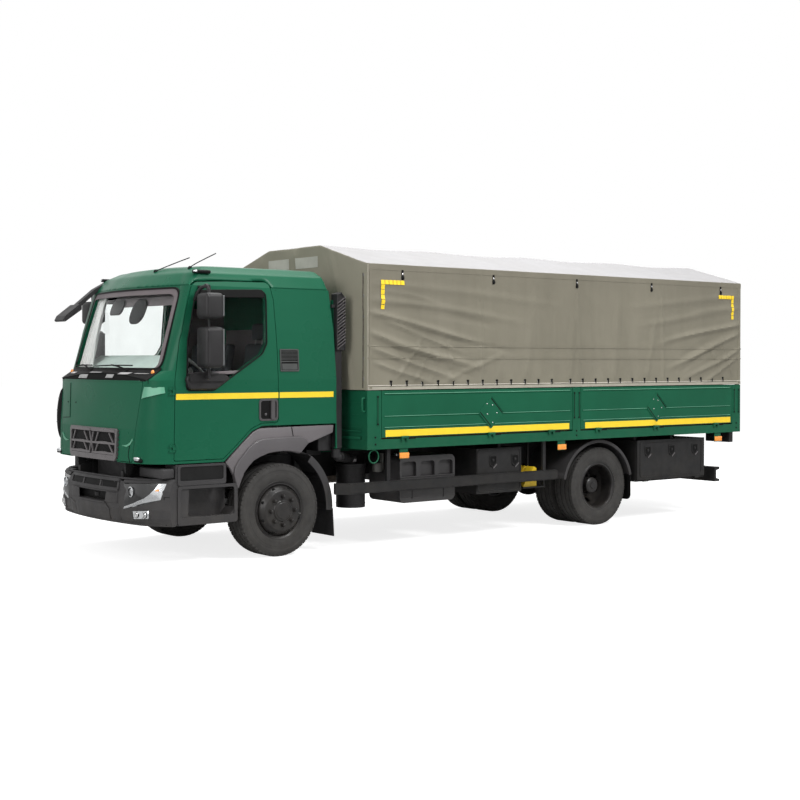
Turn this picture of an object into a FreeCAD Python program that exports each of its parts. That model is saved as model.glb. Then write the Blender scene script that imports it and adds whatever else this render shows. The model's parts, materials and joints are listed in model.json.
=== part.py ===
import FreeCAD
import Part
import math
import os

# Cab-over cargo truck with a dropside body and a tarpaulin, unarmed.
# Millimetres. +Z up, ground at Z = 0, the truck faces -Y and its left side is +X.
# Lengths along Y are measured from the front axle here; every piece is moved by
# ORIGIN_Y when it is written, so that the model's origin is under its middle.

V = FreeCAD.Vector

# Overall ends along Y
FRONT_END = -1456.0
REAR_END = 6761.0
ORIGIN_Y = -(FRONT_END + REAR_END) / 2

# Gaps
FACE_GAP = 0.3
PIN_GAP = 0.05
PANEL_GAP = 6.0

# Wheels
WHEELBASE = 4320.0
TYRE_R = 447.0
TYRE_W = 283.0
TYRE_FLAT_W = 236.0
RIM_R = 247.0
RIM_FLANGE_R = 263.0
RIM_W = 216.0
RIM_WALL = 9.0
TWIN_SPACING = TYRE_W + 35.0
RIM_OFFSET = TWIN_SPACING / 2
DISC_T = 14.0
FRONT_WHEEL_X = 923.5
REAR_WHEEL_X = 1014.0
REAR_HUB_X = REAR_WHEEL_X - TWIN_SPACING / 2
FRONT_NOSE = 42.0
REAR_NOSE = 190.0
HUB_R = 92.0
HUB_FLANGE_R = 168.0
WHEEL_PCD = 275.0
WHEEL_NUTS = 8
NUT_R = 15.0
NUT_L = 24.0
HAND_HOLE_R = 26.0
HAND_HOLE_PCD = 390.0
DRUM_R = 186.0
FRONT_DRUM_W = 50.0
REAR_DRUM_W = 145.0
SPINDLE_R = 38.0

# Steering
KINGPIN_X = 905.0
KINGPIN_R = 24.0
STEER_ARM_BACK = 125.0
EYE_R = 34.0
BRIDGE_X = 44.0
BRIDGE_T = 36.0
TIE_ROD_R = 17.0
TIE_EYE_R = 28.0
TIE_EYE_H = 40.0
TIE_PIN_R = 12.0
FREE_EYE_GAP = 1.5
TIE_ROD_Z = TYRE_R - 67.0

# Chassis frame
RAIL_X = 430.0
RAIL_H = 250.0
RAIL_W = 75.0
RAIL_WALL = 10.0
RAIL_TOP = 930.0
RAIL_FRONT = -1230.0
RAIL_REAR = 6500.0
SPRING_X = 415.0
SPRING_W = 75.0
AXLE_R = 62.0
END_PLATE_T = 12.0
COUPLING_Z = 800.0
COUPLING_HOLES_X = 160.0
COUPLING_HOLES_Z = 100.0
COUPLING_HOLE_R = 10.5
TOW_EYE_Y = -1375.0
TOW_EYE_R = 18.0
TOW_EYE_Z = 588.0
TOW_EYE_T = 35.0

# Cab
CAB_WALL = 60.0
CAB_UNDER = 940.0
CAB_ARCH_Z = 1262.0
CAB_FLOOR = 40.0
TUNNEL_HALF_W = 480.0
TUNNEL_Z = 1275.0
ROOF_SEAM_Z = 2575.0
GLASS_T = 6.0
TILT_Y = -1320.0
TILT_Z = 830.0
TILT_PIN_R = 20.0
TILT_ARM_X = 486.0
TILT_ARM_T = 26.0

# Doors
DOOR_HINGE_X = 1050.0
DOOR_HINGE_Y = -1150.0
DOOR_HINGE_R = 11.0
DOOR_PIN_R = 6.0
DOOR_HINGE_L = 70.0
DOOR_HINGE_Z = (1080.0, 1600.0)

# Load body
BODY_HALF_W = 1275.0
BODY_FRONT = 889.0
BODY_REAR = 6734.0
RAVE_BOTTOM = 1000.0
RAVE_TOP = 1110.0
RAVE_T = 50.0
DECK_T = 25.0
POST_TOP = 1584.0
POST_D = 90.0
POST_FRONT_W = 175.0
POST_MID_W = 127.0
POST_MID_Y = 3829.0
POST_REAR_W = 158.0
POST_SPANS = ((BODY_FRONT, BODY_FRONT + POST_FRONT_W),
              (POST_MID_Y - POST_MID_W / 2, POST_MID_Y + POST_MID_W / 2),
              (BODY_REAR - POST_REAR_W, BODY_REAR))
BOARD_T = 26.0
BOARD_BOTTOM = 1115.0
BOARD_TOP = 1582.0
BOARD_FOLD_Z = (1212.0, 1323.0, 1542.0)
BODY_HINGE_R = 13.0
BODY_PIN_R = 7.0
BODY_HINGE_L = 90.0
BODY_HINGE_Z = 1112.0
SIDE_HINGES = (1354.0, 2535.0, 3424.0, 4168.0, 5150.0, 6249.0)
REAR_HINGES = (-850.0, -285.0, 285.0, 850.0)

# Tarpaulin
TARP_T = 8.0
TARP_HEM = 1590.0
TARP_EAVE = 2842.0
TARP_TOP = 3069.0
TARP_TOP_HALF_W = 480.0
BOW_TUBE = 40.0

# Toolboxes: front and rear ends along Y
BOX_OUT_X = 1215.0
BOX_DEPTH = 480.0
BOX_TOP = 945.0
BOX_BOTTOM = 465.0
BOX_WALL = 12.0
LID_T = 18.0
MID_BOX_Y = (2419.0, 3070.0)
REAR_BOX_Y = (4900.0, 6120.0)
MID_BOX_OUT_X = 1180.0
BOX_HANGERS = (2800.0, 4950.0, 5600.0)
LID_HINGE_R = 9.0
LID_PIN_R = 5.0


def box(x0, x1, y0, y1, z0, z1):
    return Part.makeBox(x1 - x0, y1 - y0, z1 - z0, V(x0, y0, z0))


def mirrored(shape):
    return shape.mirror(V(0, 0, 0), V(1, 0, 0))


def to_side(shape, side):
    return shape if side > 0 else mirrored(shape)


def both(shape):
    return [shape, mirrored(shape)]


def fuse(shapes):
    shapes = list(shapes)
    return shapes[0].fuse(shapes[1:]).removeSplitter() if len(shapes) > 1 else shapes[0]


def cut(shape, tools):
    return shape.cut(list(tools))


def rod(start, end, radius):
    axis = V(*end) - V(*start)
    return Part.makeCylinder(radius, axis.Length, V(*start), axis)


def tube(start, end, radius, bore):
    return rod(start, end, radius).cut(rod(start, end, bore))


PLACE = {
    "x": lambda u, v, w: V(w, u, v),
    "y": lambda u, v, w: V(u, w, v),
    "z": lambda u, v, w: V(u, v, w),
}


def rounded_wire(points, radius, axis="z", level=0.0):
    """A closed outline across an axis, each corner rounded by its own radius."""
    count = len(points)
    radii = radius if hasattr(radius, "__len__") else [radius] * count
    corners = []
    for i in range(count):
        corner = V(*points[i], 0)
        back = (V(*points[i - 1], 0) - corner).normalize()
        ahead = (V(*points[(i + 1) % count], 0) - corner).normalize()
        half = back.getAngle(ahead) / 2
        if radii[i] == 0:
            corners.append((corner, None, corner))
            continue
        reach = radii[i] / math.tan(half)
        inward = (back + ahead).normalize()
        middle = corner + inward * (radii[i] / math.sin(half) - radii[i])
        corners.append((corner + back * reach, middle, corner + ahead * reach))
    lift = lambda p: PLACE[axis](p.x, p.y, level)
    edges = []
    for i, (start, middle, end) in enumerate(corners):
        if middle is not None:
            edges.append(Part.Arc(lift(start), lift(middle), lift(end)).toShape())
        following = corners[(i + 1) % count][0]
        if (following - end).Length > 1e-6:
            edges.append(Part.LineSegment(lift(end), lift(following)).toShape())
    return Part.Wire(edges)


def prism(points, axis, low, high, radius=0.0):
    """A solid with a rounded outline, from low to high along an axis."""
    face = Part.Face(rounded_wire(points, radius, axis, low))
    return face.extrude(PLACE[axis](0, 0, high - low))


def grown(points, distance):
    """A convex or nearly convex outline, each side moved outwards by a distance."""
    count = len(points)
    area = sum(points[i][0] * points[(i + 1) % count][1]
               - points[(i + 1) % count][0] * points[i][1] for i in range(count))
    turn = 1 if area > 0 else -1
    result = []
    for i in range(count):
        a, b, c = points[i - 1], points[i], points[(i + 1) % count]
        first = V(b[0] - a[0], b[1] - a[1], 0).normalize()
        second = V(c[0] - b[0], c[1] - b[1], 0).normalize()
        n1 = V(first.y, -first.x, 0) * turn
        n2 = V(second.y, -second.x, 0) * turn
        bisector = (n1 + n2).normalize()
        step = distance / max(0.2, bisector.dot(n1))
        result.append((b[0] + bisector.x * step, b[1] + bisector.y * step))
    return result


def rect(u0, u1, v0, v1):
    return [(u0, v0), (u1, v0), (u1, v1), (u0, v1)]


def lathe(profile, centre_x, y, z):
    """Turn a closed profile of (x, radius) points about a line along X."""
    points = [V(centre_x + x, y, z + r) for x, r in profile]
    wire = Part.makePolygon(points + points[:1])
    return Part.Face(wire).revolve(V(0, y, z), V(1, 0, 0), 360)


def hinge(centre, axis, length, radius, pin_radius, fixed, moving):
    """Fixed ears with their pin, and the sleeve between them that turns on it.

    fixed and moving are boxes that tie the ears and the sleeve to what they carry.
    """
    c = V(*centre)
    a = V(*axis)
    third = length / 3
    at = lambda t: tuple(c + a * t)
    reach = length / 2
    ears = fuse([rod(at(-reach), at(-third / 2 - 1), radius), rod(at(third / 2 + 1), at(reach), radius),
                 rod(at(-reach), at(reach), pin_radius)] + [leaf for leaf in fixed])
    keep_out = rod(at(-third / 2 - 1), at(third / 2 + 1), radius + 1.0)
    ears = fuse([ears.cut(keep_out), rod(at(-reach), at(reach), pin_radius)])
    bore = rod(at(-reach), at(reach), pin_radius + PIN_GAP)
    sleeve = fuse([rod(at(-third / 2), at(third / 2), radius)] + [leaf for leaf in moving]).cut(bore)
    return ears, sleeve


def tyre(centre_x, y):
    half = TYRE_W / 2
    bead = RIM_W / 2 - RIM_WALL - FACE_GAP
    shoulder = TYRE_R - 12
    profile = [(-bead, RIM_R + FACE_GAP), (-bead, RIM_FLANGE_R + 2), (-half + 12, RIM_FLANGE_R + 22),
               (-half, (TYRE_R + RIM_FLANGE_R) / 2), (-half + 7, shoulder - 30), (-half + 16, shoulder),
               (-TYRE_FLAT_W / 2, TYRE_R - 3), (0, TYRE_R)]
    profile += [(-x, r) for x, r in reversed(profile[:-1])]
    return lathe(profile, centre_x, y, TYRE_R)


def rim(centre_x, y, outwards):
    """A drop-centre rim; its disc lies RIM_OFFSET from the middle, towards outwards."""
    half = RIM_W / 2
    inner = RIM_R - RIM_WALL
    disc = RIM_OFFSET - half
    barrel = [(-half, RIM_FLANGE_R), (-half + RIM_WALL, RIM_FLANGE_R), (-half + RIM_WALL, RIM_R),
              (half - RIM_WALL, RIM_R), (half - RIM_WALL, RIM_FLANGE_R), (half, RIM_FLANGE_R),
              (half, inner), (-half, inner)]
    barrel = lathe([(outwards * x, r) for x, r in barrel], centre_x, y, TYRE_R)
    dish = [(half - 70, inner + 1), (half - 50, inner + 1), (RIM_OFFSET, HUB_FLANGE_R + 20),
            (RIM_OFFSET, HUB_R - 2), (RIM_OFFSET - DISC_T, HUB_R - 2),
            (RIM_OFFSET - DISC_T, HUB_FLANGE_R + 16)]
    dish = lathe([(outwards * x, r) for x, r in dish], centre_x, y, TYRE_R)
    holes = []
    for i in range(WHEEL_NUTS):
        angle = 2 * math.pi * (i + 0.5) / WHEEL_NUTS
        hy = y + HAND_HOLE_PCD / 2 * math.sin(angle)
        hz = TYRE_R + HAND_HOLE_PCD / 2 * math.cos(angle)
        x = centre_x + outwards * disc
        holes.append(rod((x - 120, hy, hz), (x + 220, hy, hz), HAND_HOLE_R))
    return fuse([barrel, dish.cut(holes)])


HUB_FLANGE_T = 18.0
HUB_CAP_T = 12.0
HUB_CAP_WALL = 48.0


def hub(face_x, y, discs, drum_w, nose):
    """Hub and brake drum behind the discs' outer face, with nuts and a nose in front."""
    x = lambda d: face_x + d
    back = -discs * DISC_T
    drum_to = back - HUB_FLANGE_T - drum_w
    flange = rod((x(back - HUB_FLANGE_T), y, TYRE_R), (x(back), y, TYRE_R), HUB_FLANGE_R)
    barrel = rod((x(back - HUB_FLANGE_T), y, TYRE_R), (x(nose - HUB_CAP_T), y, TYRE_R), HUB_R)
    cap = Part.makeCone(HUB_R, HUB_R - 16, HUB_CAP_T, V(x(nose - HUB_CAP_T), y, TYRE_R), V(1, 0, 0))
    drum = rod((x(drum_to), y, TYRE_R), (x(back - HUB_FLANGE_T), y, TYRE_R), DRUM_R)
    bore = rod((x(drum_to), y, TYRE_R), (x(nose - HUB_CAP_WALL), y, TYRE_R), SPINDLE_R + PIN_GAP)
    nuts = []
    for i in range(WHEEL_NUTS):
        angle = 2 * math.pi * i / WHEEL_NUTS
        ny = y + WHEEL_PCD / 2 * math.sin(angle)
        nz = TYRE_R + WHEEL_PCD / 2 * math.cos(angle)
        nuts.append(rod((x(back), ny, nz), (x(NUT_L), ny, nz), NUT_R))
    return fuse([flange, barrel, cap, drum] + nuts).cut(bore)


def front_wheel(side):
    centre = hub(FRONT_WHEEL_X + RIM_OFFSET, 0, 1, FRONT_DRUM_W, FRONT_NOSE)
    wheel = fuse([rim(FRONT_WHEEL_X, 0, 1), centre])
    return to_side(tyre(FRONT_WHEEL_X, 0), side), to_side(wheel, side)


def rear_wheels(side):
    inner_x = REAR_WHEEL_X - TWIN_SPACING
    outer = rim(REAR_WHEEL_X, WHEELBASE, -1)
    inner = rim(inner_x, WHEELBASE, 1)
    centre = hub(REAR_HUB_X + DISC_T, WHEELBASE, 2, REAR_DRUM_W, REAR_NOSE)
    tyres = [to_side(tyre(x, WHEELBASE), side) for x in (REAR_WHEEL_X, inner_x)]
    return tyres, to_side(fuse([outer, inner, centre]), side)


def knuckle(side):
    """Forked upright on the kingpin, with its spindle and steering arm."""
    x = KINGPIN_X
    spindle_end = FRONT_WHEEL_X + RIM_OFFSET - 30
    bridge = box(x + BRIDGE_X, x + BRIDGE_X + BRIDGE_T, -55, 55, TYRE_R - 120, TYRE_R + 120)
    forks = [box(x - 45, x + BRIDGE_X + 5, -55, 55, TYRE_R + s * 93 - 27, TYRE_R + s * 93 + 27) for s in (-1, 1)]
    end_y = STEER_ARM_BACK
    arm = prism([(x - 30, 20), (x + 30, 20), (x + 20, end_y + 20), (x - 20, end_y + 20)],
                "z", TYRE_R - 118, TYRE_R - 90, 8)
    pin = rod((x, end_y, TYRE_R - 100), (x, end_y, TIE_ROD_Z + TIE_EYE_H / 2 + 6), TIE_PIN_R)
    bore = rod((x, 0, TYRE_R - 200), (x, 0, TYRE_R + 200), KINGPIN_R + PIN_GAP)
    spindle = rod((x + BRIDGE_X + 5, 0, TYRE_R), (spindle_end, 0, TYRE_R), SPINDLE_R)
    return to_side(fuse([bridge, spindle] + forks + [arm, pin]).cut(bore), side)


def tie_rod():
    """Rod between the two steering arms, with an eye on each one's pin."""
    x, y, z = KINGPIN_X, STEER_ARM_BACK, TIE_ROD_Z
    half = TIE_EYE_H / 2
    eyes = [rod((s * x, y, z - half), (s * x, y, z + half), TIE_EYE_R) for s in (-1, 1)]
    bar = rod((-x, y, z), (x, y, z), TIE_ROD_R)
    bores = [rod((x, y, z - half - 10), (x, y, z + half + 10), TIE_PIN_R + PIN_GAP),
             rod((-x, y, z - half - 10), (-x, y, z + half + 10), TIE_PIN_R + FREE_EYE_GAP)]
    return fuse([bar] + eyes).cut(bores)


def front_axle():
    """Dropped beam with an eye and kingpin at each end."""
    drop = TYRE_R - 75
    beam = prism([(-KINGPIN_X + 60, TYRE_R + 45), (-KINGPIN_X + 60, TYRE_R - 45), (-640, TYRE_R - 50),
                  (-560, drop - 45), (560, drop - 45), (640, TYRE_R - 50), (KINGPIN_X - 60, TYRE_R - 45),
                  (KINGPIN_X - 60, TYRE_R + 45), (620, TYRE_R + 45), (520, drop + 50), (-520, drop + 50),
                  (-620, TYRE_R + 45)], "y", -42, 42)
    groove = [box(-500, 500, s * 42 - 16, s * 42 + 16, drop - 22, drop + 26) for s in (-1, 1)]
    ends = []
    for s in (-1, 1):
        x = s * KINGPIN_X
        ends.append(rod((x, 0, TYRE_R - 62), (x, 0, TYRE_R + 62), EYE_R))
        ends.append(box(min(x, x - s * 70), max(x, x - s * 70), -28, 28, TYRE_R - 45, TYRE_R + 45))
        ends.append(rod((x, 0, TYRE_R - 118), (x, 0, TYRE_R + 118), KINGPIN_R))
    seats = [box(s * SPRING_X - 50, s * SPRING_X + 50, -60, 60, drop + 40, TYRE_R + 70) for s in (-1, 1)]
    return fuse([beam.cut(groove)] + ends + seats)


def rear_axle():
    """Banjo housing with its differential and the spring seats."""
    tube_end = REAR_HUB_X + 90
    inner = REAR_HUB_X - DISC_T - HUB_FLANGE_T - REAR_DRUM_W - 8
    casing = rod((-inner, WHEELBASE, TYRE_R), (inner, WHEELBASE, TYRE_R), AXLE_R)
    spindles = [rod((s * (inner - 5), WHEELBASE, TYRE_R), (s * tube_end, WHEELBASE, TYRE_R), SPINDLE_R)
                for s in (-1, 1)]
    banjo = Part.makeSphere(190, V(0, WHEELBASE, TYRE_R))
    banjo = banjo.common(box(-150, 150, WHEELBASE - 190, WHEELBASE + 190, 200, 700))
    nose = Part.makeCone(130, 75, 190, V(0, WHEELBASE - 140, TYRE_R), V(0, -1, 0))
    cones = [Part.makeCone(140, AXLE_R, 170, V(s * 120, WHEELBASE, TYRE_R), V(s, 0, 0)) for s in (-1, 1)]
    seats = [box(s * SPRING_X - 50, s * SPRING_X + 50, WHEELBASE - 70, WHEELBASE + 70, TYRE_R, TYRE_R + 75)
             for s in (-1, 1)]
    return fuse([casing, banjo, nose] + spindles + cones + seats)


def leaf_pack(y, half_length, base, leaves, thickness):
    """Stacked leaves, the longest on top, each a shallow bow, with shackle brackets."""
    rise = 70.0
    parts = []
    for i in range(leaves):
        reach = half_length * (1 - 0.16 * i)
        top = base + (leaves - i) * thickness
        lift = rise * (reach / half_length) ** 2
        outer = Part.Arc(V(0, y - reach, top + lift), V(0, y, top), V(0, y + reach, top + lift)).toShape()
        lower = Part.Arc(V(0, y + reach, top + lift - thickness), V(0, y, top - thickness),
                         V(0, y - reach, top + lift - thickness)).toShape()
        ends = [Part.LineSegment(V(0, y + s * reach, top + lift), V(0, y + s * reach, top + lift - thickness))
                for s in (1, -1)]
        edges = [outer, ends[0].toShape(), lower, ends[1].toShape()]
        face = Part.Face(Part.Wire(Part.__sortEdges__(edges)))
        face.translate(V(SPRING_X - SPRING_W / 2, 0, 0))
        parts.append(face.extrude(V(SPRING_W, 0, 0)))
    clamp = box(SPRING_X - 46, SPRING_X + 46, y - 60, y + 60, base, base + leaves * thickness + 24)
    hangers = []
    for s in (-1, 1):
        low = base + leaves * thickness + rise - 30
        top = RAIL_TOP - RAIL_H
        hangers.append(prism([(y + s * half_length - 32, low), (y + s * half_length + 32, low),
                              (y + s * half_length + 60, top), (y + s * half_length - 60, top)],
                             "x", SPRING_X - 46, SPRING_X - 8))
    return fuse(parts + [clamp] + hangers)


def leaf_springs():
    front = leaf_pack(0, 740, TYRE_R + 70, 3, 22)
    rear = leaf_pack(WHEELBASE, 760, TYRE_R + 75, 4, 20)
    return both(front) + both(rear)


def frame():
    """Two channel rails, cross members, cab pivots and the cab's rear rest."""
    z0 = RAIL_TOP - RAIL_H
    web = box(RAIL_X - RAIL_WALL, RAIL_X, RAIL_FRONT, RAIL_REAR, z0, RAIL_TOP)
    top = box(RAIL_X - RAIL_W, RAIL_X, RAIL_FRONT, RAIL_REAR, RAIL_TOP - RAIL_WALL, RAIL_TOP)
    low = box(RAIL_X - RAIL_W, RAIL_X, RAIL_FRONT, RAIL_REAR, z0, z0 + RAIL_WALL)
    rail = fuse([web, top, low])
    inner = RAIL_X - RAIL_WALL
    members = [box(-inner, inner, y - 40, y + 40, z0 + 125, RAIL_TOP - 40)
               for y in (1500, 2900, 4000, 4700, 5600)]
    end_plate = box(-inner - 1, inner + 1, RAIL_REAR - END_PLATE_T, RAIL_REAR, z0 + 5, RAIL_TOP - 5)
    holes = [rod((s * COUPLING_HOLES_X / 2, RAIL_REAR - 50, COUPLING_Z + t * COUPLING_HOLES_Z / 2),
                 (s * COUPLING_HOLES_X / 2, RAIL_REAR + 50, COUPLING_Z + t * COUPLING_HOLES_Z / 2), COUPLING_HOLE_R)
             for s in (-1, 1) for t in (-1, 1)]
    members.append(end_plate.cut(holes))
    members.append(box(-inner, inner, RAIL_FRONT, RAIL_FRONT + 60, TOW_EYE_Z, z0 + 15))
    lug = prism([(-60, RAIL_FRONT + 10), (-36, TOW_EYE_Y - 36), (36, TOW_EYE_Y - 36), (60, RAIL_FRONT + 10)],
                "z", TOW_EYE_Z, TOW_EYE_Z + TOW_EYE_T, (0, 30, 30, 0))
    members.append(lug.cut(rod((0, TOW_EYE_Y, 500), (0, TOW_EYE_Y, 700), TOW_EYE_R)))
    bracket = prism([(RAIL_FRONT + 60, z0 + 20), (RAIL_FRONT + 60, RAIL_TOP - 20), (TILT_Y + 20, TILT_Z + 42),
                     (TILT_Y - 42, TILT_Z + 20), (TILT_Y - 42, TILT_Z - 35), (TILT_Y + 30, z0 + 20)],
                    "x", RAIL_X, RAIL_X + 46)
    pin = rod((RAIL_X + 20, TILT_Y, TILT_Z), (TILT_ARM_X + TILT_ARM_T + 6, TILT_Y, TILT_Z), TILT_PIN_R)
    rest_top = CAB_ARCH_Z - FACE_GAP
    leg = prism([(560, RAIL_TOP - 120), (640, RAIL_TOP - 120), (640, rest_top), (560, rest_top)],
                "x", RAIL_X, RAIL_X + 60)
    foot = box(RAIL_X, RAIL_X + 180, 560, 640, rest_top - 30, rest_top)
    return fuse([rail, mirrored(rail)] + members + both(bracket) + both(pin) + both(leg) + both(foot))


def engine():
    return prism([(-880, 620), (-880, 1180), (-700, 1240), (120, 1240), (300, 1120), (300, 620), (100, 540),
                  (-700, 540)], "x", -330, 330, 20)


def driveline():
    """Gearbox behind the engine and the shaft to the rear axle's nose."""
    gearbox = fuse([Part.makeCone(230, 170, 160, V(0, 300.3, 800), V(0, 1, 0)),
                    box(-160, 160, 400, 900, 640, 960), rod((0, 900, 790), (0, 980, 790), 70)])
    shaft = rod((0, 960, 790), (0, WHEELBASE - 390, TYRE_R + 20), 45)
    nose = rod((0, WHEELBASE - 400, TYRE_R), (0, WHEELBASE - 330 - FACE_GAP, TYRE_R), 68)
    return fuse([gearbox, shaft, nose])


def radiator():
    half = RAIL_X - RAIL_W - 12
    core = box(-half, half, -1215, -1130, 700, 1225)
    feet = [box(*sorted((s * (half - 5), s * RAIL_X)), -1215, -1140, RAIL_TOP + FACE_GAP, RAIL_TOP + 35)
            for s in (-1, 1)]
    return fuse([core] + feet)


# Cab outline at a height: half width, rear, where the side ends, front corner, front middle
CAB_SECTIONS = (
    (CAB_UNDER, 1050.0, 675.0, -1150.0, (755.0, -1405.0), -1445.0),
    (1250.0, 1050.0, 675.0, -1150.0, (790.0, -1392.0), -1436.0),
    (1700.0, 1050.0, 675.0, -1128.0, (852.0, -1346.0), -1420.0),
    (1790.0, 1044.0, 673.0, -1112.0, (930.0, -1190.0), -1300.0),
    (2170.0, 1020.0, 663.0, -1050.0, (893.0, -1085.0), -1205.0),
    (ROOF_SEAM_Z, 982.0, 627.0, -948.0, (848.0, -968.0), -1095.0),
    (2700.0, 925.0, 603.0, -840.0, (760.0, -880.0), -975.0),
    (2765.0, 820.0, 575.0, -720.0, (640.0, -760.0), -850.0),
)
ROOF_TOP_Z = 2795.0


def cab_section(inset, z, half_w, rear, side_end, corner, front):
    """One level of the cab: rear and sides straight, corners and front bowed."""
    w = half_w - inset
    back = rear - inset
    cx, cy = corner[0] - inset * 0.8, corner[1] + inset
    fy = front + inset
    start = V(w, side_end + inset * 0.3, z)
    bow = V((w + cx) / 2 + (w - cx) * 0.16, (start.y + cy) / 2 + (cy - start.y) * 0.16, z)
    left, right = V(cx, cy, z), V(-cx, cy, z)
    edges = [
        Part.LineSegment(V(-w, back, z), V(w, back, z)).toShape(),
        Part.LineSegment(V(w, back, z), start).toShape(),
        Part.Arc(start, bow, left).toShape(),
        Part.Arc(left, V(0, fy, z), right).toShape(),
        Part.Arc(right, V(-bow.x, bow.y, z), V(-start.x, start.y, z)).toShape(),
        Part.LineSegment(V(-start.x, start.y, z), V(-w, back, z)).toShape(),
    ]
    return Part.Wire(edges)


def cab_volume(inset):
    """The cab's outer form moved inwards all round, from the lower edge to the roof."""
    wires = [cab_section(inset, *section) for section in CAB_SECTIONS]
    top = CAB_SECTIONS[-1]
    crown = (top[1] - 330, top[2] - 160, top[3] + 260, (top[4][0] - 300, top[4][1] + 210), top[5] + 210)
    wires.append(cab_section(inset, ROOF_TOP_Z, *crown))
    volume = Part.makeLoft(wires, True, True)
    if inset:
        volume = volume.common(box(-2000, 2000, -2000, 2000, 0, ROOF_TOP_Z - inset))
    return volume


# Underside of the cab's side and floor, front to rear, over the wheel arch
ARCH_LINE = ((-620.0, CAB_UNDER), (-455.0, 1085.0), (-310.0, 1215.0), (-195.0, CAB_ARCH_Z))


def under_cab(rise):
    """All below the cab's floor line, raised by a thickness: the wheel arches and the tunnel."""
    front = [(-1600, CAB_UNDER + rise), (ARCH_LINE[0][0] - rise * 0.4, CAB_UNDER + rise)]
    arch = [(y - rise * 0.7, z + rise * 0.7) for y, z in ARCH_LINE[1:-1]]
    rear = [(ARCH_LINE[-1][0] - rise * 0.3, CAB_ARCH_Z + rise), (800, CAB_ARCH_Z + rise)]
    low = prism([(-1600, 500)] + front + arch + rear + [(800, 500)], "x", -1200, 1200)
    side = TUNNEL_HALF_W + rise
    tunnel = box(-side, side, -1600, 800, 500, TUNNEL_Z + rise)
    return low.fuse(tunnel)


DOOR_LINE = ((-1150.0, 963.0), (-626.0, 963.0), (-460.0, 1104.0), (-316.0, 1234.0), (-198.0, 1284.0),
             (-7.0, 1284.0), (-10.0, 1979.0), (-28.0, 2458.0), (-70.0, 2634.0), (-560.0, 2628.0),
             (-872.0, 2612.0), (-930.0, 2572.0), (-988.0, 2387.0), (-1076.0, 2065.0), (-1138.0, 1703.0))
DOOR_R = (20, 30, 60, 60, 30, 40, 0, 0, 60, 0, 60, 60, 0, 0, 0)
WINDOW_LINE = ((-1016.0, 1647.0), (-992.0, 1611.0), (-724.0, 1612.0), (-195.0, 1941.0), (-134.0, 2040.0),
               (-119.0, 2456.0), (-158.0, 2550.0), (-866.0, 2526.0), (-990.0, 2066.0))
WINDOW_R = (0, 0, 120, 120, 20, 20, 45, 45, 0)
SCREEN_LINE = ((-905.0, 1800.0), (905.0, 1800.0), (818.0, 2552.0), (-818.0, 2552.0))
SCREEN_R = 60.0
FLAP_LINE = ((-735.0, 952.0), (735.0, 952.0), (838.0, 1690.0), (-838.0, 1690.0))
FLAP_T = 32.0
GRILLE_LINE = ((-500.0, 965.0), (500.0, 965.0), (515.0, 1235.0), (-515.0, 1235.0))
GRILLE_BARS = 6
GRILLE_BAR_H = 14.0


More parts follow.
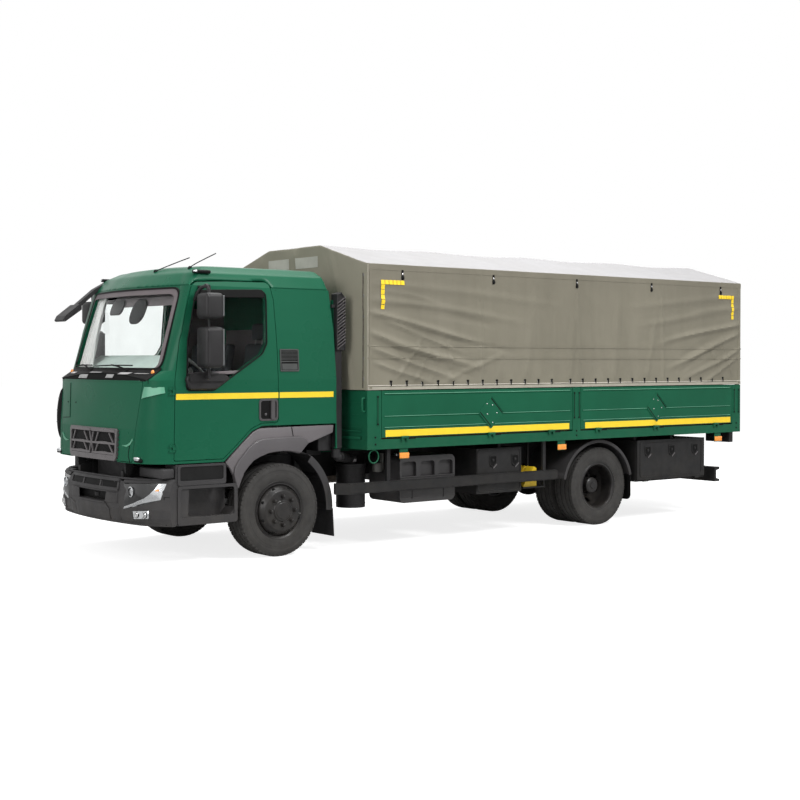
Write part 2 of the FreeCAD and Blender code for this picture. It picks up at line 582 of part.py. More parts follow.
def cab_pieces():
    """Cab shell cut into floor, front, back and roof, with doors, glass and front flap."""
    outer = cab_volume(0)
    inner = cab_volume(CAB_WALL)
    shell = outer.cut(inner)
    tub = outer.cut(under_cab(0)).cut(inner.cut(under_cab(CAB_FLOOR)))
    far = 1400
    doors = {s: prism(DOOR_LINE, "x", *sorted((s * 700, s * far)), DOOR_R) for s in (1, -1)}
    screen = prism(SCREEN_LINE, "y", -1800, -800, SCREEN_R)
    flap_zone = prism(grown(FLAP_LINE, PANEL_GAP), "y", -1800, -800, 25)
    flap_skin = outer.cut(cab_volume(FLAP_T))
    within = cab_volume(FLAP_T + PANEL_GAP)
    behind = outer.cut(within)
    grille_hole = prism(grown(GRILLE_LINE, -20), "y", -1800, -1250, 20)
    tub = tub.cut([doors[1], doors[-1], screen, flap_zone.common(behind), grille_hole])

    roof_zone = box(-far, far, -1700, 900, ROOF_SEAM_Z, 3000)
    back_zone = box(-far, far, -250, 900, CAB_UNDER, ROOF_SEAM_Z)
    floor_inner = cab_volume(CAB_WALL + FACE_GAP).cut(under_cab(0))
    wall_inner = inner.cut(under_cab(0))
    roof = tub.common(roof_zone)
    rest = tub.cut(roof_zone)
    floor = rest.common(floor_inner).common(box(-far, far, -1385, 900, 900, TUNNEL_Z + CAB_FLOOR + 1))
    walls = rest.cut(wall_inner)
    back = walls.common(box(-far, far, -300, 900, 900, 2700))
    front = walls.common(box(-far, far, -1700, -300, 900, 2700))

    arm_x = TILT_ARM_X
    arm = prism([(TILT_Y - 34, TILT_Z), (TILT_Y, TILT_Z - 36), (TILT_Y + 34, TILT_Z),
                 (TILT_Y + 60, CAB_UNDER + 20), (TILT_Y - 38, CAB_UNDER + 20)],
                "x", arm_x, arm_x + TILT_ARM_T, 12)
    arm = arm.cut(rod((arm_x - 5, TILT_Y, TILT_Z), (arm_x + 60, TILT_Y, TILT_Z), TILT_PIN_R + PIN_GAP))
    floor = fuse([floor] + both(arm))
    sleeve_pockets = [rod((DOOR_HINGE_X, DOOR_HINGE_Y, z - DOOR_HINGE_L / 6 - 1),
                          (DOOR_HINGE_X, DOOR_HINGE_Y, z + DOOR_HINGE_L / 6 + 1), DOOR_HINGE_R + 8)
                      for z in DOOR_HINGE_Z]
    front = front.cut([q for pocket in sleeve_pockets for q in both(pocket)])
    arm_pockets = [box(s * FLAP_HINGE_X - 20, s * FLAP_HINGE_X + 20, -1405, PLENUM_Y, 1660, 1730) for s in (-1, 1)]
    front = fuse([front.cut([flap_sweep()] + arm_pockets)] + [w.common(within) for w in plenum_wall()])

    glass_skin = cab_volume(CAB_WALL / 2 - GLASS_T / 2).cut(cab_volume(CAB_WALL / 2 + GLASS_T / 2))
    windscreen = glass_skin.common(prism(grown(SCREEN_LINE, -FACE_GAP), "y", -1800, -800, SCREEN_R))
    door_solids, door_glass = {}, {}
    for s in (1, -1):
        low, high = sorted((s * 700, s * far))
        blank = shell.common(prism(grown(DOOR_LINE, -PANEL_GAP), "x", low, high, DOOR_R))
        notches = [to_side(rod((DOOR_HINGE_X, DOOR_HINGE_Y, z - DOOR_HINGE_L / 2 - PANEL_GAP),
                               (DOOR_HINGE_X, DOOR_HINGE_Y, z + DOOR_HINGE_L / 2 + PANEL_GAP),
                               DOOR_HINGE_R + PANEL_GAP), s) for z in DOOR_HINGE_Z]
        door_solids[s] = blank.cut([prism(WINDOW_LINE, "x", low, high, WINDOW_R)] + notches)
        door_glass[s] = glass_skin.common(prism(grown(WINDOW_LINE, -FACE_GAP), "x", low, high, WINDOW_R))

    flap = flap_skin.common(prism(FLAP_LINE, "y", -1800, -900, 25))
    opening = prism(GRILLE_LINE, "y", -1800, -1250, 20)
    pitch = (GRILLE_LINE[2][1] - GRILLE_LINE[1][1]) / GRILLE_BARS
    bars = []
    for i in range(GRILLE_BARS):
        z = GRILLE_LINE[0][1] + pitch * (i + 0.5)
        bars.append(box(-530, 530, -1470, -1380, z - GRILLE_BAR_H / 2, z + GRILLE_BAR_H / 2))
    uprights = [box(x - 8, x + 8, -1470, -1380, 960, 1240) for x in (-250, 0, 250)]
    bars = flap_skin.common(fuse(bars + uprights)).common(opening)
    flap = fuse([flap.cut(opening), bars])
    return dict(outer=outer, floor=floor, front=front, back=back, roof=roof, windscreen=windscreen,
                doors=door_solids, glass=door_glass, flap=flap)


def door_hinges(side):
    """Two small hinges at a door's front edge: ears on the cab, sleeves on the door."""
    ears, sleeves = [], []
    for z in DOOR_HINGE_Z:
        fixed = [box(DOOR_HINGE_X - 46, DOOR_HINGE_X + 2, DOOR_HINGE_Y - 42, DOOR_HINGE_Y - 2,
                     z + s * DOOR_HINGE_L / 3 - 11, z + s * DOOR_HINGE_L / 3 + 11) for s in (-1, 1)]
        moving = [box(DOOR_HINGE_X - 14, DOOR_HINGE_X + 2, DOOR_HINGE_Y, DOOR_HINGE_Y + 26,
                      z - DOOR_HINGE_L / 6, z + DOOR_HINGE_L / 6)]
        ear, sleeve = hinge((DOOR_HINGE_X, DOOR_HINGE_Y, z), (0, 0, 1), DOOR_HINGE_L, DOOR_HINGE_R,
                            DOOR_PIN_R, fixed, moving)
        ears.append(to_side(ear, side))
        sleeves.append(to_side(sleeve, side))
    return ears, sleeves


FLAP_HINGE = (-1330.0, 1712.0)
FLAP_HINGE_X = 560.0
FLAP_SWEEP_R = 100.0
PLENUM_Y = -1314.0


def flap_hinges():
    """Hinges of the front flap: ears on the plenum wall, arms that reach the flap's top edge."""
    ears, sleeves = [], []
    y, z = FLAP_HINGE
    for x in (-FLAP_HINGE_X, FLAP_HINGE_X):
        fixed = [box(x + s * 26 - 9, x + s * 26 + 9, y, PLENUM_Y + 6, z - 5, z + 7) for s in (-1, 1)]
        moving = [box(x - 12, x + 12, y - 5, y + 5, z - 40, z), box(x - 12, x + 12, y - 36, y + 5, z - 40, z - 24)]
        ear, sleeve = hinge((x, y, z), (1, 0, 0), 78, 7, 4, fixed, moving)
        ears.append(ear)
        sleeves.append(sleeve)
    return ears, sleeves


def flap_sweep():
    """Room above the flap that its top edge needs as it swings up."""
    y, z = FLAP_HINGE
    arc = [(y - FLAP_SWEEP_R * math.cos(math.radians(t)), z + FLAP_SWEEP_R * math.sin(math.radians(t)))
           for t in range(-15, 76, 15)]
    return prism([(y, z - 22)] + arc + [(y, z + 60)], "x", -880, 880)


def plenum_wall():
    """Wall and shelf behind the flap's hinges, between the front wall and the windscreen's foot."""
    wall = box(-862, 862, PLENUM_Y, PLENUM_Y + 18, 1636, 1776)
    shelf = box(-862, 862, -1364, PLENUM_Y + 18, 1624, 1640)
    return [wall, shelf]


def dashboard():
    """Dash moulding with the column and steering wheel of a left-hand-drive cab."""
    dash = prism([(-1190, 1330), (-1190, 1760), (-1040, 1800), (-880, 1770), (-800, 1640), (-860, 1330)],
                 "x", -920, 920, 30)
    column = rod((480, -900, 1560), (480, -690, 1790), 40)
    wheel = Part.makeTorus(225, 15, V(480, -680, 1800), V(0, 0.68, 0.73))
    normal = V(0, 0.68, 0.73)
    centre = V(480, -680, 1800)
    hub_disc = Part.makeCylinder(60, 40, centre - normal * 30, normal)
    spokes = []
    for angle in (0, 120, 240):
        bar = Part.makeBox(225, 30, 14, V(0, -15, -7))
        bar.rotate(V(0, 0, 0), V(0, 0, 1), angle + 90)
        bar.rotate(V(0, 0, 0), V(1, 0, 0), -43)
        bar.translate(centre)
        spokes.append(bar)
    dash = dash.common(cab_volume(CAB_WALL + FACE_GAP))
    return fuse([dash, column, wheel, hub_disc] + spokes)


def seat(x, width):
    cushion = prism([(-430, 1440), (-420, 1540), (60, 1510), (60, 1420)], "x", x - width / 2, x + width / 2, 30)
    back = prism([(20, 1500), (190, 2080), (280, 2060), (130, 1440), (20, 1440)], "x", x - width / 2,
                 x + width / 2, 30)
    head = prism([(175, 2060), (225, 2290), (290, 2270), (270, 2050)], "x", x - 130, x + 130, 20)
    base_top = 1460
    base = box(x - width / 2 + 60, x + width / 2 - 60, -330, 20, TUNNEL_Z + CAB_FLOOR + FACE_GAP, base_top)
    return fuse([cushion, back, head, base])


def air_intake():
    """Ribbed stack on the cab's rear wall, with its duct down to the filter."""
    x0, x1 = 955, 1045
    stack = prism([(682, 1980), (682, 2540), (740, 2560), (790, 2500), (790, 1980)], "x", x0, x1, 10)
    slots = [prism([(700, z), (800, z + 46), (800, z + 62), (700, z + 16)], "x", x0 + 40, x1 + 5)
             for z in range(2010, 2440, 42)]
    stack = stack.cut(slots)
    duct = prism([(676, 1010), (676, 2000), (755, 2000), (755, 1010)], "x", x0 + 10, x1 - 15, 12)
    feet = [box(x0 + 20, x1 - 20, 640, 690, z - 15, z + 15) for z in (1400, 1900, 2420)]
    return fuse([stack, duct]), feet


def front_bumper():
    """Wide moulded bumper with lamp pockets, a centre opening and wrapped corners."""
    def shell(inset):
        levels = ((370, 30), (440, 8), (520, 0), (690, 6), (760, 20), (800, 52))
        wires = []
        for z, back in levels:
            front = FRONT_END + back + inset
            w = 1050 - inset
            corner = V(780 - inset * 0.5, front + 78, z)
            edges = [
                Part.LineSegment(V(-w, -1130, z), V(w, -1130, z)).toShape(),
                Part.LineSegment(V(w, -1130, z), V(w, -1190 + back, z)).toShape(),
                Part.Arc(V(w, -1190 + back, z), V(960 - inset * 0.7, front + 178, z), corner).toShape(),
                Part.Arc(corner, V(0, front, z), V(-corner.x, corner.y, z)).toShape(),
                Part.Arc(V(-corner.x, corner.y, z), V(-960 + inset * 0.7, front + 178, z),
                         V(-w, -1190 + back, z)).toShape(),
                Part.LineSegment(V(-w, -1190 + back, z), V(-w, -1130, z)).toShape(),
            ]
            wires.append(Part.Wire(edges))
        return Part.makeLoft(wires, True, True)
    hollow = shell(60).common(box(-1100, 1100, -1500, -1000, 395, 775))
    body = shell(0).cut([hollow, box(-890, 890, -1290, -1000, 300, 900), box(-640, 640, -1396, -1000, 700, 900)])
    centre = prism(rect(-480, 480, 560, 650), "y", -1500, -1300, 20)
    lamps = [prism(lamp_outline(s, FACE_GAP), "y", -1500, -1150, 22) for s in (-1, 1)]
    fogs = [prism(rect(*sorted((s * 700, s * 890)), 440, 500), "y", -1500, -1250, 12) for s in (-1, 1)]
    brackets = [box(*sorted((s * (RAIL_X - 60), s * (RAIL_X - 10))), -1420, RAIL_FRONT - FACE_GAP, 690, 770)
                for s in (-1, 1)]
    pin_slot = prism(rect(-45, 45, TOW_EYE_Y - 26, TOW_EYE_Y + 90), "z", 300, TOW_EYE_Z, 20)
    return fuse([body.cut([centre, pin_slot] + lamps + fogs)] + brackets)


def lamp_outline(side, grow=0):
    points = [(side * 640, 520), (side * 960, 600), (side * 985, 770), (side * 600, 740)]
    return grown(points, grow)


def lamps():
    """Headlamps, fog lamps and the rear lamp clusters."""
    solids = []
    for s in (-1, 1):
        head = prism(lamp_outline(s), "y", -1500, -1150, 22)
        solids.append(head.common(front_skin(25, 70)))
        fog = prism(grown(rect(*sorted((s * 700, s * 890)), 440, 500), -FACE_GAP), "y", -1500, -1250, 12)
        solids.append(fog.common(front_skin(22, 62)))
        x0, x1 = sorted((s * 820, s * 1180))
        solids.append(prism(rect(x0, x1, 870, RAVE_BOTTOM - FACE_GAP), "y", 6642, 6712, 15))
    return solids


def front_skin(near, far):
    """A curved layer that lies between two depths behind the bumper's face."""
    def level(depth):
        pts = [V(-1050, -1165 + depth, 300), V(-960, FRONT_END + 178 + depth, 300),
               V(-780, FRONT_END + 78 + depth, 300), V(0, FRONT_END + depth, 300),
               V(780, FRONT_END + 78 + depth, 300), V(960, FRONT_END + 178 + depth, 300),
               V(1050, -1165 + depth, 300)]
        return [Part.Arc(*pts[0:3]).toShape(), Part.Arc(*pts[2:5]).toShape(), Part.Arc(*pts[4:7]).toShape()]
    a, b = level(near), level(far)
    start = [Part.LineSegment(V(s * 1050, -1165 + near, 300), V(s * 1050, -1165 + far, 300)).toShape()
             for s in (-1, 1)]
    wire = Part.Wire(Part.__sortEdges__(a + b + start))
    return Part.Face(wire).extrude(V(0, 0, 600))


def cab_steps():
    """Two-tread step moulding between the bumper and the front wheel."""
    column = prism([(-1129, 385), (-1129, 930), (-1000, 930), (-600, 900), (-600, 740), (-990, 720),
                    (-1000, 455), (-560, 430), (-484, 520), (-470, 440), (-500, 372), (-1100, 372)],
                   "x", 870, 1048, 8)
    back = box(850, 872, -1129, -500, 372, 930)
    arm = box(RAIL_X + FACE_GAP, 860, -1000, -900, 800, 860)
    return fuse([column, back, arm])


def front_mudguards():
    """Arch edge, liner and flap over each front wheel, carried from the frame."""
    outer = [(-472, 640), (-500, 800), (-598, 929), (-440, 1078), (-296, 1204), (-184, 1240), (231, 1244),
             (651, 1247), (640, 1170), (350, 1074), (400, 940), (590, 353), (560, 340), (370, 900), (230, 975),
             (68, 1010), (-127, 995), (-296, 930), (-400, 820), (-462, 671)]
    edge = prism(outer, "x", 1000, 1046)
    liner = prism([(-462, 671), (-400, 820), (-296, 930), (-127, 995), (68, 1010), (230, 975), (370, 900),
                   (560, 400), (575, 404), (384, 912), (236, 990), (70, 1026), (-134, 1011), (-306, 944),
                   (-414, 828), (-476, 671)], "x", 700, 1001)
    flap = box(740, 1046, 568, 582, 180, 430)
    arm = box(RAIL_X + FACE_GAP, 760, 430, 480, 700, 760)
    return fuse([edge, liner, flap, arm])


def fuel_tank():
    """Moulded tank with three deep recesses and its two straps' brackets."""
    y0, y1 = 1400, 2140
    shell = prism(rect(y0, y1, 430, 905), "x", 640, 1150, 60)
    width = (y1 - y0) / 3
    for i in range(3):
        a = y0 + width * i + 30
        shell = shell.cut(prism(rect(a, a + width - 60, 520, 850), "x", 1110, 1200, 30))
    bars = [box(RAIL_X + FACE_GAP, 660, y - 30, y + 30, 700, 900) for y in (y0 + 130, y1 - 130)]
    return fuse([shell] + bars)


def air_filter():
    """Upright filter canister behind the left front wheel with its elbow duct."""
    can = rod((700, 1112, 380), (700, 1112, 800), 150)
    lid = rod((700, 1112, 800), (700, 1112, 826), 160)
    elbow = fuse([rod((700, 1112, 826), (700, 1112, 900), 60), rod((700, 1112, 870), (985, 760, 925), 48),
                  rod((985, 718, 920), (985, 718, 1004), 46), Part.makeSphere(48, V(985, 745, 925))])
    bracket = box(RAIL_X + FACE_GAP, 600, 1080, 1144, 700, 780)
    return fuse([can, lid, elbow, bracket])


def exhaust():
    """Silencer and tail pipe on the right side of the frame."""
    drum = rod((-820, 1450, 660), (-820, 2150, 660), 190)
    pipe = rod((-820, 2150, 660), (-1130, 2300, 560), 45)
    feed = fuse([rod((-820, 1460, 600), (-300, 930, 590), 42), Part.makeSphere(42, V(-300, 930, 590)),
                 rod((-300, 930, 590), (-262, 300, 640), 42)])
    feed = feed.cut(box(-500, 0, 200, 300 + FACE_GAP, 500, 800))
    brackets = [box(-700, -RAIL_X - FACE_GAP, y - 25, y + 25, 700, 820) for y in (1600, 2000)]
    return fuse([drum, pipe, feed] + brackets)


def guards():
    """Side rails between the axles, and the rear underrun bar."""
    rail = prism([(1225, 567), (1248, 580), (1248, 664), (1225, 677), (1200, 677), (1200, 567)], "y", 700, 3560)
    nose = prism([(1200, 700.5), (1248, 700.5), (1150, 590), (1110, 600)], "z", 567, 677)
    uprights = [box(1196, 1226, y - 22, y + 22, 567, RAVE_BOTTOM - FACE_GAP) for y in (1196, 3374)]
    side = fuse([rail, nose] + uprights)
    bar = prism([(6350, 393), (6350, 571), (6440, 571), (6440, 545), (6380, 530), (6380, 434), (6440, 420),
                 (6440, 393)], "x", -1190, 1190)
    stays = [box(*sorted((s * (RAIL_X + FACE_GAP), s * (RAIL_X + 60))), 6352, 6430, 560, RAIL_TOP - 30)
             for s in (-1, 1)]
    return both(side) + [fuse([bar] + stays)]


def toolbox_shell(y0, y1, x1):
    """Box under the deck with its two hangers; x1 is its outer face."""
    x0 = x1 - BOX_DEPTH
    body = box(x0, x1, y0, y1, BOX_BOTTOM, BOX_TOP)
    hangers = [box(x0 + 60, x1 - 60, y - 20, y + 20, BOX_TOP - 1, RAVE_BOTTOM - FACE_GAP) for y in BOX_HANGERS
               if y0 < y < y1]
    return fuse([body] + hangers)


def rear_toolbox():
    """Open-fronted box with hinge ears along its lower edge, and its lid."""
    y0, y1 = REAR_BOX_Y
    x1 = BOX_OUT_X - LID_T - 1
    x0 = x1 - BOX_DEPTH
    body = toolbox_shell(y0, y1, x1)
    body = body.cut(box(x0 + BOX_WALL, x1 + 1, y0 + BOX_WALL, y1 - BOX_WALL,
                        BOX_BOTTOM + BOX_WALL, BOX_TOP - BOX_WALL))
    lid = box(x1 + 1, BOX_OUT_X, y0 + 4, y1 - 4, BOX_BOTTOM + 18, BOX_TOP + 2)
    ears, sleeves = [], []
    hx, hz = BOX_OUT_X + 2, BOX_BOTTOM + 6
    for y in (y0 + 150, y1 - 150):
        fixed = [box(x1 - 10, hx, y + s * 28 - 9, y + s * 28 + 9, hz - 9, hz - 1) for s in (-1, 1)]
        moving = [box(hx - 14, hx - 2, y - 12, y + 12, hz, hz + 40)]
        ear, sleeve = hinge((hx, y, hz), (0, 1, 0), 80, LID_HINGE_R, LID_PIN_R, fixed, moving)
        ears.append(ear)
        sleeves.append(sleeve)
    return fuse([body] + ears), fuse([lid] + sleeves)


def battery_box():
    return fuse([prism(rect(2450, 3050, 480, 940), "x", -1200, -720, 25),
                 box(-1150, -780, 2700, 2800, 930, RAVE_BOTTOM - FACE_GAP)])


def rear_mudguards():
    """Plastic guards over the twin wheels, with a rubber flap behind."""
    line = [(3705, 556), (3790, 850), (4000, 968), (4640, 968), (4740, 850), (4790, 575)]
    inner = [(y + (12 if y < 4320 else -12), z - (12 if 900 < z else 0)) for y, z in line]
    arch = prism(line + list(reversed(inner)), "x", 540, 1180)
    flap = box(560, 1170, 4779, 4791, 270, 580)
    arms = [rod((RAIL_X + FACE_GAP, y, z), (1150, y, z), 18) for y, z in ((3860, 884), (4726, 862))]
    return fuse([arch, flap] + arms)


def bed_frame():
    """Side raves, cross bearers, corner and middle posts, and the headboard."""
    y0, y1 = BODY_FRONT, BODY_REAR
    rave = prism([(BODY_HALF_W, RAVE_TOP - 12), (BODY_HALF_W, RAVE_BOTTOM), (BODY_HALF_W - RAVE_T, RAVE_BOTTOM),
                  (BODY_HALF_W - RAVE_T, RAVE_BOTTOM + 14), (BODY_HALF_W - 14, RAVE_BOTTOM + 14),
                  (BODY_HALF_W - 14, RAVE_TOP - DECK_T), (BODY_HALF_W - RAVE_T, RAVE_TOP - DECK_T),
                  (BODY_HALF_W - RAVE_T, RAVE_TOP - 12)], "y", y0, y1)
    inner = BODY_HALF_W - 14
    bearers = [box(-inner, inner, y - 35, y + 35, RAVE_BOTTOM, RAVE_TOP - DECK_T - FACE_GAP)
               for y in (y0 + 60, 1500, 2150, 2800, 3450, POST_MID_Y, 4320, 4950, 5600, 6200, y1 - 60)]
    ends = [box(-inner, inner, y, y + 14, RAVE_BOTTOM, RAVE_TOP - 12) for y in (y0, y1 - 14)]
    sills = [box(s * 390 - 35, s * 390 + 35, y0 + 10, RAIL_REAR, RAIL_TOP, RAVE_BOTTOM + 5) for s in (-1, 1)]
    posts = []
    for a, b in POST_SPANS:
        posts.append(box(BODY_HALF_W - POST_D, BODY_HALF_W, a, b, RAVE_BOTTOM + 2, POST_TOP))
    head = box(-BODY_HALF_W + 40, BODY_HALF_W - 40, y0 + 4, y0 + 44, RAVE_TOP - 20, POST_TOP)
    ribs = [box(-BODY_HALF_W + 60, BODY_HALF_W - 60, y0, y0 + 6, z - 8, z + 8) for z in (1215, 1335, 1455)]
    return fuse([rave, mirrored(rave)] + bearers + ends + sills
                + [q for p in posts for q in both(p)] + [head] + ribs)


def bed_deck():
    """Flat deck between the raves, notched round the posts."""
    half = BODY_HALF_W - RAVE_T - FACE_GAP
    deck = box(-half, half, BODY_FRONT + 44 + FACE_GAP, BODY_REAR - 14 - FACE_GAP, RAVE_TOP - DECK_T, RAVE_TOP)
    notches = []
    for a, b in POST_SPANS:
        notches += both(box(BODY_HALF_W - POST_D - FACE_GAP, BODY_HALF_W, a - FACE_GAP, b + FACE_GAP, 1000, 1200))
    return deck.cut(notches)


def bows():
    """Tubular hoops on the posts, joined along the eaves and the roof's edges."""
    t = BOW_TUBE
    half = BODY_HALF_W - TARP_T - FACE_GAP
    eave = TARP_EAVE - TARP_T
    top = TARP_TOP - TARP_T - 1
    edge = TARP_TOP_HALF_W
    line = [(half, POST_TOP), (half, eave), (edge, top), (-edge, top), (-half, eave), (-half, POST_TOP),
            (-half + t, POST_TOP), (-half + t, eave - t * 0.2), (-edge - t * 0.2, top - t), (edge + t * 0.2, top - t),
            (half - t, eave - t * 0.2), (half - t, POST_TOP)]
    front, rear = BODY_FRONT + 10, BODY_REAR - 10
    ys = [front, front + 1448, POST_MID_Y - t / 2, rear - 1448 - t, rear - t]
    hoops = [prism(line, "y", y, y + t) for y in ys]
    rails = [box(half - t, half, front, rear, eave - 2 * t, eave - t),
             box(edge - t, edge, front, rear, top - 1.2 * t - 10, top - t * 0.6)]
    cuts = []
    for y in (ys[1], ys[3]):
        cuts += both(box(half - t - 5, half + 5, y - 1, y + t + 1, POST_TOP - 1, eave - 2 * t))
    return fuse([h for h in hoops] + [q for r in rails for q in both(r)]).cut(cuts)


def tarpaulin():
    """Taut cover: vertical sides, sloping shoulders, flat top, closed at both ends."""
    w, edge = BODY_HALF_W, TARP_TOP_HALF_W
    y0, y1 = BODY_FRONT - 4, BODY_REAR + 4

    def section(t):
        return [(w - t, TARP_HEM - (1 if t else 0)), (w - t, TARP_EAVE - t * 0.7), (edge - t * 0.3, TARP_TOP - t),
                (-edge + t * 0.3, TARP_TOP - t), (-w + t, TARP_EAVE - t * 0.7), (-w + t, TARP_HEM - (1 if t else 0))]
    return prism(section(0), "y", y0, y1).cut(prism(section(TARP_T), "y", y0 + TARP_T, y1 - TARP_T))


def board(length, height):
    """A folded sheet-steel board, standing in the YZ plane, with pressed grooves."""
    x0 = BODY_HALF_W - BOARD_T
    body = box(x0, BODY_HALF_W, 0, length, BOARD_BOTTOM, BOARD_BOTTOM + height)
    grooves = []
    for z in BOARD_FOLD_Z:
        grooves.append(prism([(BODY_HALF_W - 6, z - 4), (BODY_HALF_W + 1, z - 9), (BODY_HALF_W + 1, z + 9),
                              (BODY_HALF_W - 6, z + 4)], "y", 30, length - 30))
    return body.cut(grooves)


def body_hinge(y):
    """A dropside hinge: ears on the rave's face, sleeve and strap on the board."""
    hx = BODY_HALF_W + BODY_HINGE_R + 1
    fixed = [box(BODY_HALF_W - 2, hx, y + s * 30 - 12, y + s * 30 + 12, BODY_HINGE_Z - 36, BODY_HINGE_Z - 4)
             for s in (-1, 1)]
    fixed = [f.cut(box(hx - 5, hx + 5, y - 60, y + 60, BODY_HINGE_Z - 60, BODY_HINGE_Z - 20)) for f in fixed]
    moving = [box(BODY_HALF_W - 1, BODY_HALF_W + 10, y - 14, y + 14, BODY_HINGE_Z - 2, BODY_HINGE_Z + 10)]
    return hinge((hx, y, BODY_HINGE_Z), (0, 1, 0), BODY_HINGE_L, BODY_HINGE_R, BODY_PIN_R, fixed, moving)


def dropsides():
    """Four side boards and the tailboard, and the hinge ears that stay on the frame."""
    front = (BODY_FRONT + POST_FRONT_W + PANEL_GAP, POST_MID_Y - POST_MID_W / 2 - PANEL_GAP)
    rear = (POST_MID_Y + POST_MID_W / 2 + PANEL_GAP, BODY_REAR - POST_REAR_W - PANEL_GAP)
    height = BOARD_TOP - BOARD_BOTTOM
    pieces, ears = {}, []
    for name, (a, b) in (("front", front), ("rear", rear)):
        panel = board(b - a, height)
        panel.translate(V(0, a, 0))
        sleeves = []
        for y in SIDE_HINGES:
            if a < y < b:
                ear, sleeve = body_hinge(y)
                ears.append(ear)
                sleeves.append(sleeve)
        pieces[name] = fuse([panel] + sleeves)
    turned = V(0, 0, 0)
    width = 2 * (BODY_HALF_W - POST_D - PANEL_GAP)
    tail = board(width, height)
    tail.translate(V(0, -width / 2, 0))
    tail_sleeves, tail_ears = [], []
    for y in REAR_HINGES:
        ear, sleeve = body_hinge(y)
        tail_ears.append(ear)
        tail_sleeves.append(sleeve)
    tail = fuse([tail] + tail_sleeves)
    tail_ears = fuse(tail_ears)
    for shape in (tail, tail_ears):
        shape.rotate(turned, V(0, 0, 1), 90)
        shape.translate(V(0, BODY_REAR - BODY_HALF_W, 0))
    return pieces, ears, tail, tail_ears


MIRROR_X = (1088.0, 1294.0)
MIRROR_Y = (-928.0, -800.0)
MAIN_MIRROR_Z = (1820.0, 2182.0)
WIDE_MIRROR_Z = (2269.0, 2490.0)


def door_mirrors(side):
    """Two mirror heads on a stalk from the door's belt, with an upper arm."""
    x = 1175
    base = box(1048, 1110, -1010, -640, 1690, 1760)
    stalk = rod((x, -850, 1725), (x, -850, 2560), 13)
    lower = rod((1080, -850, 1725), (x, -850, 1725), 16)
    upper = rod((960, -850, 2560), (x, -850, 2560), 13)
    main, wide = [prism([(MIRROR_X[0], z0), (MIRROR_X[0], z1), (MIRROR_X[1], z1), (MIRROR_X[1], z0)],
                        "y", MIRROR_Y[0], MIRROR_Y[1], 40) for z0, z1 in (MAIN_MIRROR_Z, WIDE_MIRROR_Z)]
    solid = fuse([base, stalk, lower, upper, main, wide])
    return to_side(solid, side)


def kerb_mirror():
    """A flat arm from the roof's front corner, bent down over the windscreen, with its glass facing down."""
    arm = prism([(-740, 2672), (-740, 2718), (-790, 2722), (-990, 2612), (-1200, 2440), (-1200, 2384),
                 (-1000, 2556), (-800, 2672)], "x", -945, -865, (0, 0, 40, 60, 0, 0, 60, 30))
    head = prism([(-1170, 2470), (-1352, 2330), (-1376, 2282), (-1352, 2270), (-1170, 2396)], "x", -1005, -795,
                 (20, 20, 10, 10, 10))
    return fuse([arm, head])


def wheel_chocks():
    wedge = [(3120, 500), (3330, 500), (3330, 700), (3290, 720)]
    solids = [prism(wedge, "x", x, x + 110, 8) for x in (900, 1040)]
    tray = box(880, 1170, 3110, 3445, 486, 500 - FACE_GAP)
    hangers = [box(x, x + 20, 3425, 3445, 486, RAVE_BOTTOM + 1) for x in (890, 1140)]
    return solids, fuse([tray] + hangers)


def write(name, shapes):
    shape = shapes if isinstance(shapes, Part.Shape) else Part.makeCompound(list(shapes))
    shape = shape.copy()
    shape.translate(V(0, ORIGIN_Y, 0))
    bad = [s for s in shape.Solids if not s.isValid() or s.Volume <= 0]
    if bad or not shape.Solids:
        raise RuntimeError("%s has %d bad solids" % (name, len(bad)))
    shape.exportStep("parts/%s.step" % name)
    print("%-22s solids %2d  volume %.4f m3" % (name, len(shape.Solids), shape.Volume / 1e9))


